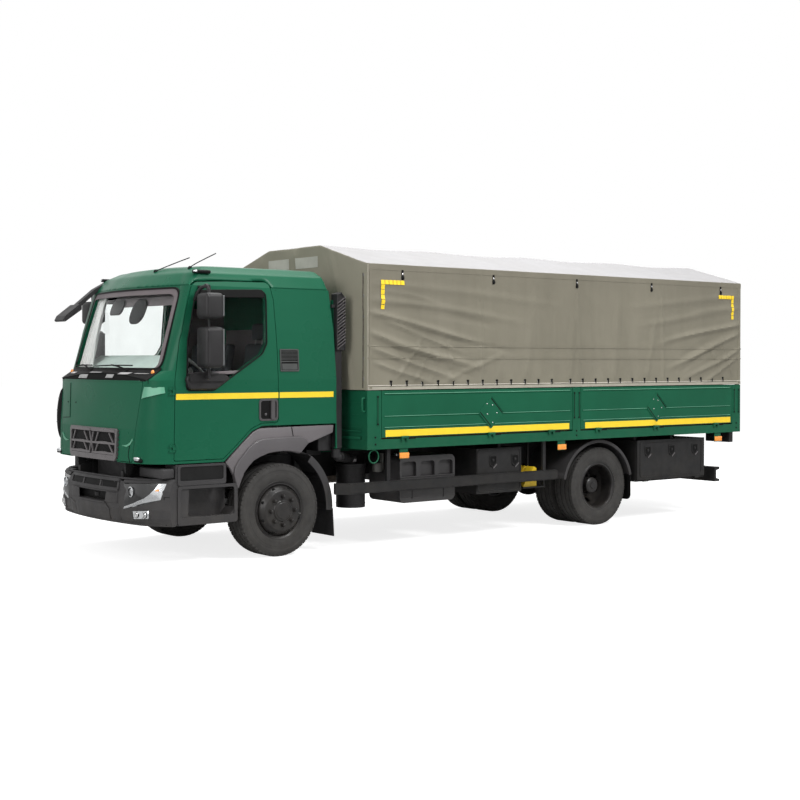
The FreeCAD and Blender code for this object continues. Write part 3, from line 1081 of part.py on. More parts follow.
def main():
    os.makedirs("parts", exist_ok=True)
    cab = cab_pieces()
    side_name = {1: "left", -1: "right"}
    hinge_ears = []
    for s, side in side_name.items():
        tyre_solid, rim_solid = front_wheel(s)
        write("tyre_front_" + side, tyre_solid)
        write("wheel_front_" + side, rim_solid)
        tyres, rims = rear_wheels(s)
        write("tyres_rear_" + side, tyres)
        write("wheels_rear_" + side, rims)
        write("knuckle_" + side, knuckle(s))
        ears, sleeves = door_hinges(s)
        hinge_ears += ears
        mirrors = door_mirrors(s)
        write("door_" + side, fuse([cab["doors"][s]] + sleeves))
        write("door_glass_" + side, cab["glass"][s])
        write("mirrors_" + side, mirrors.cut(cab["doors"][s]))
    write("tie_rod", tie_rod())
    write("front_axle", front_axle())
    write("rear_axle", rear_axle())
    write("leaf_springs", leaf_springs())
    write("frame", frame())
    write("engine", engine())
    write("driveline", driveline())
    write("radiator", radiator())
    write("exhaust", exhaust())
    write("front_bumper", front_bumper())
    write("lamps", lamps())
    write("cab_steps", both(cab_steps()))
    write("front_mudguards", both(front_mudguards()))
    write("fuel_tank", fuel_tank())
    write("air_filter", air_filter())
    write("guards", guards())
    write("battery_box", battery_box())
    write("toolbox_mid", toolbox_shell(*MID_BOX_Y, MID_BOX_OUT_X))
    body, lid = rear_toolbox()
    write("toolbox_rear", body)
    write("toolbox_lid", lid)
    write("rear_mudguards", both(rear_mudguards()))
    chocks, tray = wheel_chocks()
    write("wheel_chocks", chocks)

    flap_ears, flap_sleeves = flap_hinges()
    write("cab_floor", cab["floor"])
    write("cab_front", fuse([cab["front"]] + hinge_ears + flap_ears))
    write("cab_back", cab["back"])
    write("cab_roof", cab["roof"])
    write("windscreen", cab["windscreen"])
    write("front_flap", fuse([cab["flap"]] + flap_sleeves))
    write("dashboard", dashboard())
    write("seats", [seat(480, 520), seat(-440, 800)])
    intake, feet = air_intake()
    write("air_intake", fuse([intake] + feet).cut(cab["back"]))
    write("kerb_mirror", kerb_mirror().cut(cab["outer"]))

    pieces, ears, tail, tail_ears = dropsides()
    write("bed_frame", fuse([bed_frame(), tail_ears, tray] + [q for e in ears for q in both(e)]))
    write("bed_deck", bed_deck())
    write("tarp_bows", bows())
    write("tarpaulin", tarpaulin())
    for s, side in side_name.items():
        for name in ("front", "rear"):
            write("dropside_%s_%s" % (name, side), to_side(pieces[name], s))
    write("tailboard", tail)


main()
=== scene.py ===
import json
import math

import bmesh
import bpy
from mathutils import Matrix, Vector, noise
from mathutils.bvhtree import BVHTree

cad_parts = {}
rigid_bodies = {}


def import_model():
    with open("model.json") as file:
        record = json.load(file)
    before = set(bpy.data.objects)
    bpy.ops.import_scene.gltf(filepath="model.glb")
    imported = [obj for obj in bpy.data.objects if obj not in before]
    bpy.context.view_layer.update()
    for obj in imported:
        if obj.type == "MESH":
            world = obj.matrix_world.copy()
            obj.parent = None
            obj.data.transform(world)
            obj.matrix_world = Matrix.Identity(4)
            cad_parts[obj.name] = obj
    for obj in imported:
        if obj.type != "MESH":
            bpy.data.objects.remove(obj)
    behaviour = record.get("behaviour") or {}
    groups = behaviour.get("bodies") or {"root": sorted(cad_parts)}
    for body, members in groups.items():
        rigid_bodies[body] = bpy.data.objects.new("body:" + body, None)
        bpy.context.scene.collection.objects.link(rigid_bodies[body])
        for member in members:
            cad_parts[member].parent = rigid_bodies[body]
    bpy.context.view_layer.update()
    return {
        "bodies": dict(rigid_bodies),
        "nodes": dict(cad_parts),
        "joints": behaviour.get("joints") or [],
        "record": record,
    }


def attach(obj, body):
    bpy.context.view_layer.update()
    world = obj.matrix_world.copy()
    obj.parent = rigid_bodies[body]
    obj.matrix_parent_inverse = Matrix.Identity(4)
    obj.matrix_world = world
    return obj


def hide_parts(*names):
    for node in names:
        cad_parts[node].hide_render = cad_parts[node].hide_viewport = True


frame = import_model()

nodes = frame["nodes"]

# Cab-over truck with a dropside body and a laced tarpaulin. Places are given in millimetres from the
# front axle, along X to the truck's left, along Y to its rear and up from the ground.
AXLE_Y = -2.6525
WHEELBASE = 4320
TYRE_R = 447


def at(x, y, z):
    """A place given in millimetres from the front axle, in metres."""
    return Vector((x / 1000, y / 1000 + AXLE_Y, z / 1000))


def deselect():
    if bpy.context.object and bpy.context.object.mode != "OBJECT":
        bpy.ops.object.mode_set(mode="OBJECT")
    bpy.ops.object.select_all(action="DESELECT")


def pick(piece):
    deselect()
    piece.select_set(True)
    bpy.context.view_layer.objects.active = piece
    return piece


def settle(piece):
    """Puts a piece's place and turn into its mesh."""
    pick(piece)
    bpy.ops.object.transform_apply(location=True, rotation=True, scale=True)
    return piece


def use(piece, kind, **settings):
    """Adds a modifier with these settings and applies it."""
    pick(piece)
    modifier = piece.modifiers.new(kind, kind)
    for key, value in settings.items():
        setattr(modifier, key, value)
    bpy.ops.object.modifier_apply(modifier=modifier.name)
    return piece


def soften(piece, width, steps=2, angle=30):
    """Rounds a piece's sharp edges, width in millimetres."""
    return use(piece, "BEVEL", width=width / 1000, segments=steps, limit_method="ANGLE",
               angle_limit=math.radians(angle), harden_normals=False)


def mend_normals(piece, merge=0.00001):
    """Merges a piece's double points and turns its faces outward."""
    pick(piece)
    bpy.ops.object.mode_set(mode="EDIT")
    bpy.ops.mesh.select_all(action="SELECT")
    if merge:
        bpy.ops.mesh.remove_doubles(threshold=merge)
    bpy.ops.mesh.normals_make_consistent(inside=False)
    bpy.ops.object.mode_set(mode="OBJECT")
    return piece


def block(name, x, y, z, edge, steps=2):
    """A block between two places along each axis, with rounded edges."""
    deselect()
    bpy.ops.mesh.primitive_cube_add(size=1, location=at(sum(x) / 2, sum(y) / 2, sum(z) / 2))
    piece = bpy.context.object
    piece.name = name
    piece.scale = (abs(x[1] - x[0]) / 1000, abs(y[1] - y[0]) / 1000, abs(z[1] - z[0]) / 1000)
    settle(piece)
    return soften(piece, edge, steps)


def disc(name, centre, radius, thick, axis, edge, sides):
    """A round plate or boss along an axis."""
    deselect()
    turn = {"X": (0, math.pi / 2, 0), "Y": (math.pi / 2, 0, 0), "Z": (0, 0, 0)}[axis]
    bpy.ops.mesh.primitive_cylinder_add(vertices=sides, radius=radius / 1000, depth=thick / 1000,
                                        location=at(*centre), rotation=turn)
    piece = bpy.context.object
    piece.name = name
    settle(piece)
    return soften(piece, edge)


FACING = {
    "x": Matrix(((0, 0, 1), (1, 0, 0), (0, 1, 0))),
    "y": Matrix(((1, 0, 0), (0, 0, -1), (0, 1, 0))),
    "z": Matrix.Identity(3),
}


def spread(facing, level):
    """Where a drawing in the plane facing an axis lies, at a level along that axis."""
    move = {"x": (level, 0, 0), "y": (0, level, 0), "z": (0, 0, level)}[facing]
    return Matrix.Translation(at(*move)) @ FACING[facing].to_4x4()


def plate(name, rings, facing, level, thick, edge, steps=1):
    """A plate cut to an outline, the first ring, with holes, the others. It is centred on its level."""
    drawing = bpy.data.curves.new(name, "CURVE")
    drawing.dimensions = "2D"
    drawing.fill_mode = "BOTH"
    drawing.extrude = thick / 2000
    for ring in rings:
        line = drawing.splines.new("POLY")
        line.points.add(len(ring) - 1)
        line.use_cyclic_u = True
        for point, (u, v) in zip(line.points, ring):
            point.co = (u / 1000, v / 1000, 0, 1)
    piece = bpy.data.objects.new(name, drawing)
    bpy.context.scene.collection.objects.link(piece)
    piece.matrix_world = spread(facing, level)
    pick(piece)
    bpy.ops.object.convert(target="MESH")
    piece = bpy.context.object
    settle(piece)
    mend_normals(piece)
    if edge:
        soften(piece, edge, steps)
    return piece


def rect(u0, u1, v0, v1):
    """The corners of a rectangle."""
    return [(u0, v0), (u1, v0), (u1, v1), (u0, v1)]


def on_side(ring, side):
    """An outline drawn for the left, or mirrored for the right, where side is -1."""
    return [(side * u, v) for u, v in ring][::side]


def rounded_ring(u0, u1, v0, v1, radius, steps=5):
    """The corners of a rectangle with rounded corners."""
    ring = []
    for cu, cv, start in ((u1 - radius, v1 - radius, 0), (u0 + radius, v1 - radius, 90),
                          (u0 + radius, v0 + radius, 180), (u1 - radius, v0 + radius, 270)):
        for i in range(steps + 1):
            angle = math.radians(start + 90 * i / steps)
            ring.append((cu + radius * math.cos(angle), cv + radius * math.sin(angle)))
    return ring


def rod(name, points, radius, sides, order=3, cyclic=False, steps=8):
    """A rod, tube or cable along a smooth line through these places."""
    line = bpy.data.curves.new(name, "CURVE")
    line.dimensions = "3D"
    line.bevel_depth = radius / 1000
    line.bevel_resolution = sides
    line.use_fill_caps = not cyclic
    path = line.splines.new("NURBS")
    path.points.add(len(points) - 1)
    for point, place in zip(path.points, points):
        point.co = (*at(*place), 1)
    path.order_u = order
    path.use_endpoint_u = not cyclic
    path.use_cyclic_u = cyclic
    path.resolution_u = steps
    piece = bpy.data.objects.new(name, line)
    bpy.context.scene.collection.objects.link(piece)
    pick(piece)
    bpy.ops.object.convert(target="MESH")
    return bpy.context.object


def turned(name, profile, centre, axis="X", steps=48, sign=1):
    """A turned piece: its profile of (along, radius) spun about an axis through a centre."""
    line = bpy.data.curves.new(name, "CURVE")
    line.dimensions = "3D"
    path = line.splines.new("POLY")
    path.points.add(len(profile) - 1)
    for point, (along, radius) in zip(path.points, profile):
        point.co = (radius / 1000, 0, sign * along / 1000, 1)
    piece = bpy.data.objects.new(name, line)
    bpy.context.scene.collection.objects.link(piece)
    pick(piece)
    bpy.ops.object.convert(target="MESH")
    piece = bpy.context.object
    use(piece, "SCREW", axis="Z", angle=math.tau, steps=steps, render_steps=steps,
        use_merge_vertices=True, merge_threshold=0.00002)
    turn = {"X": Matrix(((0, 0, 1), (0, 1, 0), (-1, 0, 0))),
            "Y": Matrix(((1, 0, 0), (0, 0, 1), (0, -1, 0))),
            "Z": Matrix.Identity(3)}[axis]
    piece.matrix_world = Matrix.Translation(at(*centre)) @ turn.to_4x4()
    settle(piece)
    return mend_normals(piece)


def copied(piece, name, shift=(0, 0, 0), mirror=False):
    """A copy with a mesh of its own, moved by a shift in millimetres or mirrored to the other side."""
    pick(piece)
    bpy.ops.object.duplicate(linked=False)
    copy = bpy.context.object
    copy.name = name
    copy.parent = None
    copy.matrix_world = Matrix.Translation(Vector(shift) / 1000)
    settle(copy)
    if mirror:
        copy.scale = (-1, 1, 1)
        settle(copy)
        mend_normals(copy, 0)
    return copy


def turn_about(piece, centre, axis, degrees):
    """Turns a settled piece about an axis through a place."""
    middle = at(*centre)
    turn = Matrix.Rotation(math.radians(degrees), 4, axis)
    piece.data.transform(Matrix.Translation(middle) @ turn @ Matrix.Translation(-middle))
    return piece


def joined(name, pieces):
    """Several pieces made one."""
    deselect()
    for piece in pieces:
        piece.select_set(True)
    bpy.context.view_layer.objects.active = pieces[0]
    if len(pieces) > 1:
        bpy.ops.object.join()
    pieces[0].name = name
    return pieces[0]


def fit(piece, finish, body, angle=35):
    """Smooths a piece, gives it its finish and lets it move with a body."""
    settle(piece)
    bpy.ops.object.shade_smooth_by_angle(angle=math.radians(angle))
    piece.data.materials.clear()
    piece.data.materials.append(finishes[finish])
    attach(piece, body)
    return piece


def fit_both(piece, finish, body, angle=35):
    """Fits a piece on the left and its mirror on the right, on the left body and its twin if it has one."""
    name = piece.name
    right = copied(piece, name + "_right", mirror=True)
    piece.name = name + "_left"
    fit(piece, finish, body, angle)
    fit(right, finish, body.replace("left", "right"), angle)
    return piece, right


def surface_of(*names):
    """A search tree over some CAD nodes, to set pieces on their faces."""
    work = bmesh.new()
    for name in names:
        work.from_mesh(nodes[name].data)
    tree = BVHTree.FromBMesh(work)
    work.free()
    return tree


def srgb(r, g, b):
    """A colour as read off a picture, for a shader's socket."""
    def linear(c):
        c /= 255
        return c / 12.92 if c <= 0.04045 else ((c + 0.055) / 1.055) ** 2.4
    return (linear(r), linear(g), linear(b), 1.0)


def toned(colour, factor):
    return (min(colour[0] * factor, 1), min(colour[1] * factor, 1), min(colour[2] * factor, 1), 1.0)


finishes = {}


class Finish:
    """A procedural finish on object coordinates: patchy colour, uneven gloss, fine grain and road dust."""

    def __init__(self, name, colour, roughness, metal=0.0, coat=0.0, coat_roughness=0.1, specular=0.5):
        self.material = bpy.data.materials.new(name)
        self.material.use_nodes = True
        self.tree = self.material.node_tree
        self.shader = self.tree.nodes["Principled BSDF"]
        self.set("Base Color", colour)
        self.set("Roughness", roughness)
        self.set("Metallic", metal)
        self.set("Coat Weight", coat)
        self.set("Coat Roughness", coat_roughness)
        self.set("Specular IOR Level", specular)
        self.colour = colour
        self.tint = None
        self.place = self.add("ShaderNodeTexCoord").outputs["Object"]
        self.normal = None

    def add(self, kind, **settings):
        node = self.tree.nodes.new(kind)
        for key, value in settings.items():
            setattr(node, key, value)
        return node

    def set(self, socket, value):
        self.shader.inputs[socket].default_value = value

    def link(self, source, target):
        self.tree.links.new(source, target)

    def noise(self, scale, detail=3.0, rough=0.5, stretch=None):
        node = self.add("ShaderNodeTexNoise")
        for key, number in (("Scale", scale), ("Detail", detail), ("Roughness", rough)):
            node.inputs[key].default_value = number
        place = self.place
        if stretch:
            mapping = self.add("ShaderNodeMapping")
            mapping.inputs["Scale"].default_value = stretch
            self.link(place, mapping.inputs["Vector"])
            place = mapping.outputs["Vector"]
        self.link(place, node.inputs["Vector"])
        return node.outputs["Fac"]

    def ramp(self, value, low, high, out_low=0.0, out_high=1.0):
        node = self.add("ShaderNodeMapRange")
        for key, number in (("From Min", low), ("From Max", high), ("To Min", out_low), ("To Max", out_high)):
            node.inputs[key].default_value = number
        self.link(value, node.inputs["Value"])
        return node.outputs["Result"]

    def combine(self, node, sockets, values):
        """Sets or links a node's sockets, by whether each value is plain or another node's output."""
        for socket, value in zip(sockets, values):
            if isinstance(value, (tuple, int, float)):
                node.inputs[socket].default_value = value
            else:
                self.link(value, node.inputs[socket])

    def mix(self, factor, first, second):
        node = self.add("ShaderNodeMix", data_type="RGBA")
        self.combine(node, (0, 6, 7), (factor, first, second))
        return node.outputs[2]

    def math(self, operation, first, second):
        node = self.add("ShaderNodeMath", operation=operation)
        self.combine(node, (0, 1), (first, second))
        return node.outputs[0]

    def axis(self, letter):
        node = self.add("ShaderNodeSeparateXYZ")
        self.link(self.place, node.inputs[0])
        return node.outputs[letter]

    def patches(self, scale, dark, light, stretch=None):
        """Slow changes of colour over the surface."""
        factor = self.ramp(self.noise(scale, 4.0, 0.6, stretch), 0.35, 0.65)
        self.tint = self.mix(factor, toned(self.colour, dark), toned(self.colour, light))
        return self

    def dust(self, high, amount, scale=7.0, colour=srgb(120, 112, 98)):
        """Road dust that thins out with height, in metres."""
        fall = self.ramp(self.axis("Z"), 0.2, high, 1.0, 0.0)
        cloud = self.ramp(self.noise(scale, 5.0, 0.65), 0.3, 0.75)
        factor = self.math("MULTIPLY", self.math("MULTIPLY", fall, cloud), amount)
        self.tint = self.mix(factor, self.tint, colour)
        return self

    def gloss(self, scale, low, high):
        """Gloss that wanders between two roughnesses."""
        value = self.ramp(self.noise(scale, 3.0), 0.3, 0.7, low, high)
        self.link(value, self.shader.inputs["Roughness"])
        return self

    def grain(self, scale, height, detail=2.0, stretch=None):
        """Fine unevenness, height in millimetres."""
        bump = self.add("ShaderNodeBump")
        bump.inputs["Distance"].default_value = height / 1000
        bump.inputs["Strength"].default_value = 1.0
        self.link(self.noise(scale, detail, 0.5, stretch), bump.inputs["Height"])
        if self.normal is not None:
            self.link(self.normal, bump.inputs["Normal"])
        self.normal = bump.outputs["Normal"]
        return self

    def done(self):
        if self.tint is not None:
            self.link(self.tint, self.shader.inputs["Base Color"])
        if self.normal is not None:
            self.link(self.normal, self.shader.inputs["Normal"])
        return self.material


def painted(name, colour, roughness, patches, gloss=None, grain=None, dust=None, **settings):
    """Keeps a finish by its name: a colour as on a picture, patches, road dust, gloss and grain."""
    finish = Finish(name, srgb(*colour), roughness, **settings).patches(*patches)
    if dust:
        finish.dust(*dust)
    if gloss:
        finish.gloss(*gloss)
    if grain:
        finish.grain(*grain)
    finishes[name] = finish.done()


def make_finishes():
    """Every finish of the truck, by the record's slot or by what it is used on."""
    painted("cab_paint", (23, 86, 62), 0.28, (0.8, 0.96, 1.04), gloss=(2.5, 0.26, 0.36), grain=(55, 0.02),
            coat=0.03, coat_roughness=0.05, specular=0.1)
    painted("body_paint", (22, 83, 59), 0.42, (1.7, 0.93, 1.07), dust=(1.3, 0.16), gloss=(6, 0.34, 0.5),
            grain=(70, 0.04), coat=0.02, coat_roughness=0.2, specular=0.1)
    # A lighter green for the lips, creases and corner scoop: painted highlights along their edges.
    painted("painted_highlight_green", (96, 158, 130), 0.4, (3, 0.8, 1.08), grain=(70, 0.04), coat=0.1, specular=0.3)
    painted("chassis_black", (28, 28, 29), 0.5, (4, 0.8, 1.2), dust=(1.1, 0.1), gloss=(9, 0.42, 0.65),
            grain=(120, 0.15), specular=0.22)
    painted("wheel_black", (25, 24, 25), 0.32, (6, 0.85, 1.15), dust=(1.0, 0.12), gloss=(14, 0.3, 0.5),
            grain=(140, 0.08), coat=0.08, specular=0.3)
    painted("tyre", (57, 56, 55), 0.72, (9, 0.85, 1.12), dust=(1.1, 0.07, 12), gloss=(20, 0.64, 0.82),
            grain=(260, 0.12), specular=0.2)
    painted("rubber", (13, 13, 13), 0.6, (10, 0.9, 1.2), grain=(300, 0.1), specular=0.12)
    painted("step_dark", (24, 24, 24), 0.6, (9, 0.85, 1.15), grain=(400, 0.12), specular=0.15)
    painted("gloss_black", (26, 26, 27), 0.16, (9, 0.85, 1.2), gloss=(20, 0.12, 0.24), coat=0.5)
    painted("black_plastic", (32, 31, 32), 0.5, (5, 0.9, 1.15), gloss=(12, 0.42, 0.58), grain=(420, 0.12),
            specular=0.3)
    painted("bumper_grey", (51, 50, 51), 0.5, (3, 0.92, 1.08), dust=(0.8, 0.16), gloss=(8, 0.48, 0.64),
            grain=(420, 0.14), specular=0.3)
    painted("arch_grey", (98, 94, 96), 0.4, (3, 0.94, 1.06), dust=(0.9, 0.14), gloss=(8, 0.42, 0.56),
            grain=(420, 0.1), specular=0.45)
    # A darker copy of arch_grey: painted shade on the raised tier's curved-under face.
    painted("arch_grey_shaded", (78, 75, 77), 0.36, (3, 0.94, 1.06), dust=(0.9, 0.12), gloss=(8, 0.34, 0.46),
            grain=(420, 0.1), specular=0.5)
    painted("tank_grey", (52, 51, 52), 0.45, (4, 0.85, 1.1), dust=(0.9, 0.12), gloss=(9, 0.38, 0.55),
            grain=(300, 0.1), specular=0.3)
    painted("engine_grey", (92, 92, 90), 0.6, (6, 0.75, 1.15), dust=(1.2, 0.3), grain=(90, 0.6), metal=0.5)
    painted("exhaust_steel", (120, 110, 100), 0.45, (8, 0.7, 1.1), dust=(1.0, 0.4, 7.0, srgb(110, 75, 50)),
            grain=(120, 0.2), metal=0.7)
    painted("bow_steel", (96, 104, 98), 0.5, (5, 0.85, 1.1), grain=(160, 0.05), metal=0.3)
    painted("bright_metal", (205, 205, 205), 0.18, (20, 0.9, 1.0), gloss=(40, 0.12, 0.28), metal=1.0)
    painted("dull_metal", (150, 150, 148), 0.4, (20, 0.8, 1.05), gloss=(40, 0.32, 0.5), grain=(200, 0.05),
            metal=0.9)
    painted("grille_grey", (100, 96, 97), 0.34, (12, 0.92, 1.06), gloss=(20, 0.26, 0.4), grain=(300, 0.03),
            metal=0.25, coat=0.2)
    painted("mirror_glass", (225, 228, 230), 0.02, (3, 0.98, 1.0), metal=1.0)
    painted("reflector", (220, 222, 224), 0.12, (90, 0.8, 1.0), grain=(160, 0.3), metal=1.0)
    painted("handle_grey", (64, 62, 63), 0.4, (9, 0.9, 1.1), grain=(400, 0.08), coat=0.2)
    painted("vent_grey", (66, 68, 67), 0.45, (9, 0.9, 1.1), grain=(400, 0.08), specular=0.3)
    painted("visor_grey", (112, 105, 107), 0.6, (5, 0.9, 1.08), grain=(300, 0.2), specular=0.2)
    painted("trim_grey", (86, 88, 88), 0.65, (5, 0.95, 1.05), grain=(300, 0.15))
    # Pale grey of the filter clamp, also used for the cowl's painted glints.
    painted("pale_grey_and_painted_glint", (190, 188, 189), 0.35, (9, 0.8, 1.05), grain=(300, 0.05), specular=0.3)
    painted("dash_pale", (198, 212, 206), 0.6, (4, 0.92, 1.04), grain=(300, 0.1), specular=0.2)
    painted("deck_wood", (96, 70, 48), 0.6, (3, 0.75, 1.2, (1, 0.12, 1)), gloss=(9, 0.5, 0.7),
            grain=(90, 0.3, 3.0, (1, 0.08, 1)))
    painted("seat_fabric", (58, 60, 64), 0.9, (30, 0.85, 1.15), grain=(700, 0.4), specular=0.3)
    painted("curtain", (224, 223, 221), 0.9, (20, 0.9, 1.03), grain=(600, 0.3), specular=0.2)
    painted("belt_red", (190, 40, 40), 0.7, (30, 0.9, 1.1), grain=(600, 0.3))
    painted("white_rope", (214, 208, 196), 0.8, (60, 0.85, 1.05), grain=(500, 0.6))
    painted("lace", (92, 88, 78), 0.8, (20, 0.7, 1.3), grain=(500, 0.2))
    painted("tarp_band", (158, 154, 141), 0.6, (3, 0.92, 1.06), grain=(650, 0.2), specular=0.25)
    painted("tarp_light", (176, 174, 165), 0.55, (5, 0.92, 1.05), grain=(650, 0.2), specular=0.35)
    painted("chock_yellow", (226, 190, 30), 0.5, (9, 0.85, 1.05), dust=(1.0, 0.25), grain=(60, 0.2))
    painted("yellow_tape", (238, 203, 38), 0.4, (12, 0.97, 1.03), grain=(300, 0.02))
    painted("orange_lens", (243, 150, 50), 0.2, (60, 0.85, 1.12), grain=(600, 0.1), coat=0.6)
    painted("red_lens", (170, 20, 16), 0.2, (60, 0.85, 1.15), grain=(600, 0.1), coat=0.6)
    clear_finish("lamp_clear", (235, 240, 242), 0.03, 1.45)
    clear_finish("window_glass", (251, 254, 253), 0.0, 1.1)
    tarp_finish()


def clear_finish(name, colour, roughness, bend):
    """Glass or clear plastic, with faint streaks in its gloss."""
    glass = Finish(name, srgb(*colour), roughness)
    glass.set("Transmission Weight", 1.0)
    glass.set("IOR", bend)
    glass.patches(3, 0.96, 1.0).gloss(12, roughness, roughness + 0.03)
    finishes[name] = glass.done()


def tarp_finish():
    """Coated cloth: weave, creases, dust streaks, painted shade darker towards the top, painted light on
    faces turned to the front, and a roof made pale as a painted highlight of the sky's light.
    """
    cloth = Finish("tarp", srgb(122, 118, 104), 0.55, specular=0.2).patches(1.1, 0.93, 1.06)
    # Darker towards the top: painted shade, as the upper cloth gets less light.
    painted_shade_high = cloth.ramp(cloth.axis("Z"), 1.6, 2.85, 0.0, 0.42)
    cloth.tint = cloth.mix(painted_shade_high, cloth.tint, srgb(94, 90, 80))
    streak = cloth.ramp(cloth.noise(2.2, 5.0, 0.6, (1.0, 1.0, 0.22)), 0.4, 0.75)
    cloth.tint = cloth.mix(cloth.math("MULTIPLY", streak, 0.25), cloth.tint, srgb(146, 141, 127))
    facing = cloth.add("ShaderNodeSeparateXYZ")
    cloth.link(cloth.add("ShaderNodeNewGeometry").outputs["Normal"], facing.inputs[0])
    # Faces turned to the front are made paler: painted light on the front end.
    front = cloth.ramp(cloth.math("MULTIPLY", facing.outputs["Y"], -1.0), 0.4, 0.9, 0.0, 0.5)
    cloth.tint = cloth.mix(front, cloth.tint, srgb(158, 154, 138))
    # The roof's upward faces turn pale grey, patchy by noise: a painted highlight of the sky's light.
    roof = cloth.math("MULTIPLY", cloth.ramp(facing.outputs["Z"], 0.5, 0.85),
                      cloth.ramp(cloth.axis("Z"), 2.8, 2.84))
    painted_sky_light = cloth.math("MULTIPLY", roof, cloth.ramp(cloth.noise(1.3, 5.0), 0.2, 0.6, 0.86, 1.0))
    cloth.tint = cloth.mix(painted_sky_light, cloth.tint, srgb(157, 156, 157))
    cloth.gloss(5, 0.54, 0.7).grain(3.2, 5.0, 4.0, (1.0, 1.0, 0.6)).grain(650, 0.15)
    finishes["tarp"] = cloth.done()


def finish_solids():
    """Gives each CAD solid the finish of its slot, or a closer one."""
    slots = {part["node"]: part["material_slot"] for part in frame["record"]["subparts"]}
    slots.update(cab_floor="chassis_black", fuel_tank="tank_grey", cab_steps="bumper_grey")
    for name, node in nodes.items():
        node.data.materials.clear()
        node.data.materials.append(finishes[slots[name]])


def make_studio():
    """Pale floor, soft light all round and the camera."""
    deselect()
    bpy.ops.mesh.primitive_plane_add(size=160, location=(0, 0, -0.001))
    floor = bpy.context.object
    floor.name = "floor"
    paper = Finish("floor", (0.5, 0.5, 0.5, 1), 1.0, specular=0.0)
    seen = paper.add("ShaderNodeLightPath")
    glow = paper.add("ShaderNodeEmission")
    glow.inputs["Color"].default_value = (1, 1, 1, 1)
    glow.inputs["Strength"].default_value = 0.8
    both = paper.add("ShaderNodeAddShader")
    choose = paper.add("ShaderNodeMixShader")
    out = paper.tree.nodes["Material Output"]
    paper.link(paper.shader.outputs[0], both.inputs[0])
    paper.link(glow.outputs[0], both.inputs[1])
    paper.link(seen.outputs["Is Camera Ray"], choose.inputs[0])
    paper.link(paper.shader.outputs[0], choose.inputs[1])
    paper.link(both.outputs[0], choose.inputs[2])
    paper.link(choose.outputs[0], out.inputs["Surface"])
    floor.data.materials.append(paper.done())

    world = bpy.data.worlds.new("sky")
    bpy.context.scene.world = world
    world.use_nodes = True
    tree = world.node_tree
    back = tree.nodes["Background"]
    back.inputs["Color"].default_value = (1, 1, 1, 1)
    path = tree.nodes.new("ShaderNodeLightPath")
    first = tree.nodes.new("ShaderNodeMath")
    first.operation = "MAXIMUM"
    second = tree.nodes.new("ShaderNodeMath")
    second.operation = "MAXIMUM"
    level = tree.nodes.new("ShaderNodeMapRange")
    level.inputs["To Min"].default_value = 0.45
    level.inputs["To Max"].default_value = 1.0
    tree.links.new(path.outputs["Is Camera Ray"], first.inputs[0])
    tree.links.new(path.outputs["Is Transmission Ray"], first.inputs[1])
    tree.links.new(first.outputs[0], second.inputs[0])
    tree.links.new(path.outputs["Is Glossy Ray"], second.inputs[1])
    tree.links.new(second.outputs[0], level.inputs["Value"])
    tree.links.new(level.outputs[0], back.inputs["Strength"])

    for name, place, size, power in (("key", (10, 1, 10), 4, 1250), ("fill", (4, -14, 6), 8, 700),
                                     ("top", (0, 0, 12), 10, 1300)):
        lamp = bpy.data.lights.new(name, "AREA")
        lamp.shape = "DISK"
        lamp.size = size
        lamp.energy = power
        holder = bpy.data.objects.new(name, lamp)
        bpy.context.scene.collection.objects.link(holder)
        holder.location = place
        holder.rotation_euler = (Vector((0, 0, 1.2)) - Vector(place)).to_track_quat("-Z", "Y").to_euler()

    lens = bpy.data.cameras.new("camera")
    camera = bpy.data.objects.new("camera", lens)
    bpy.context.scene.collection.objects.link(camera)
    camera.location = (11.8572, -9.8699, 1.8846)
    camera.rotation_euler = (1.55915, -0.00066, 0.92254)
    lens.sensor_width = 36
    lens.lens = 60.977
    lens.shift_x = 0.05
    lens.shift_y = -0.03
    lens.clip_end = 400
    bpy.context.scene.camera = camera
    bpy.context.scene.view_settings.view_transform = "Standard"


# The cover's outer faces
COVER_Y = (885, 6738)
COVER_X = 1275
HEM_Z = 1590
EAVE_Z = 2842
RIDGE_Z = 3069
RIDGE_X = 480
BOW_Y = (919, 2367, 3829, 5256, 6704)
EYELET_Z = 1656
EYELET_STEP = 205
EYELET_Y = [1180 + EYELET_STEP * i for i in range(12)] + [3720 + EYELET_STEP * i for i in range(14)]

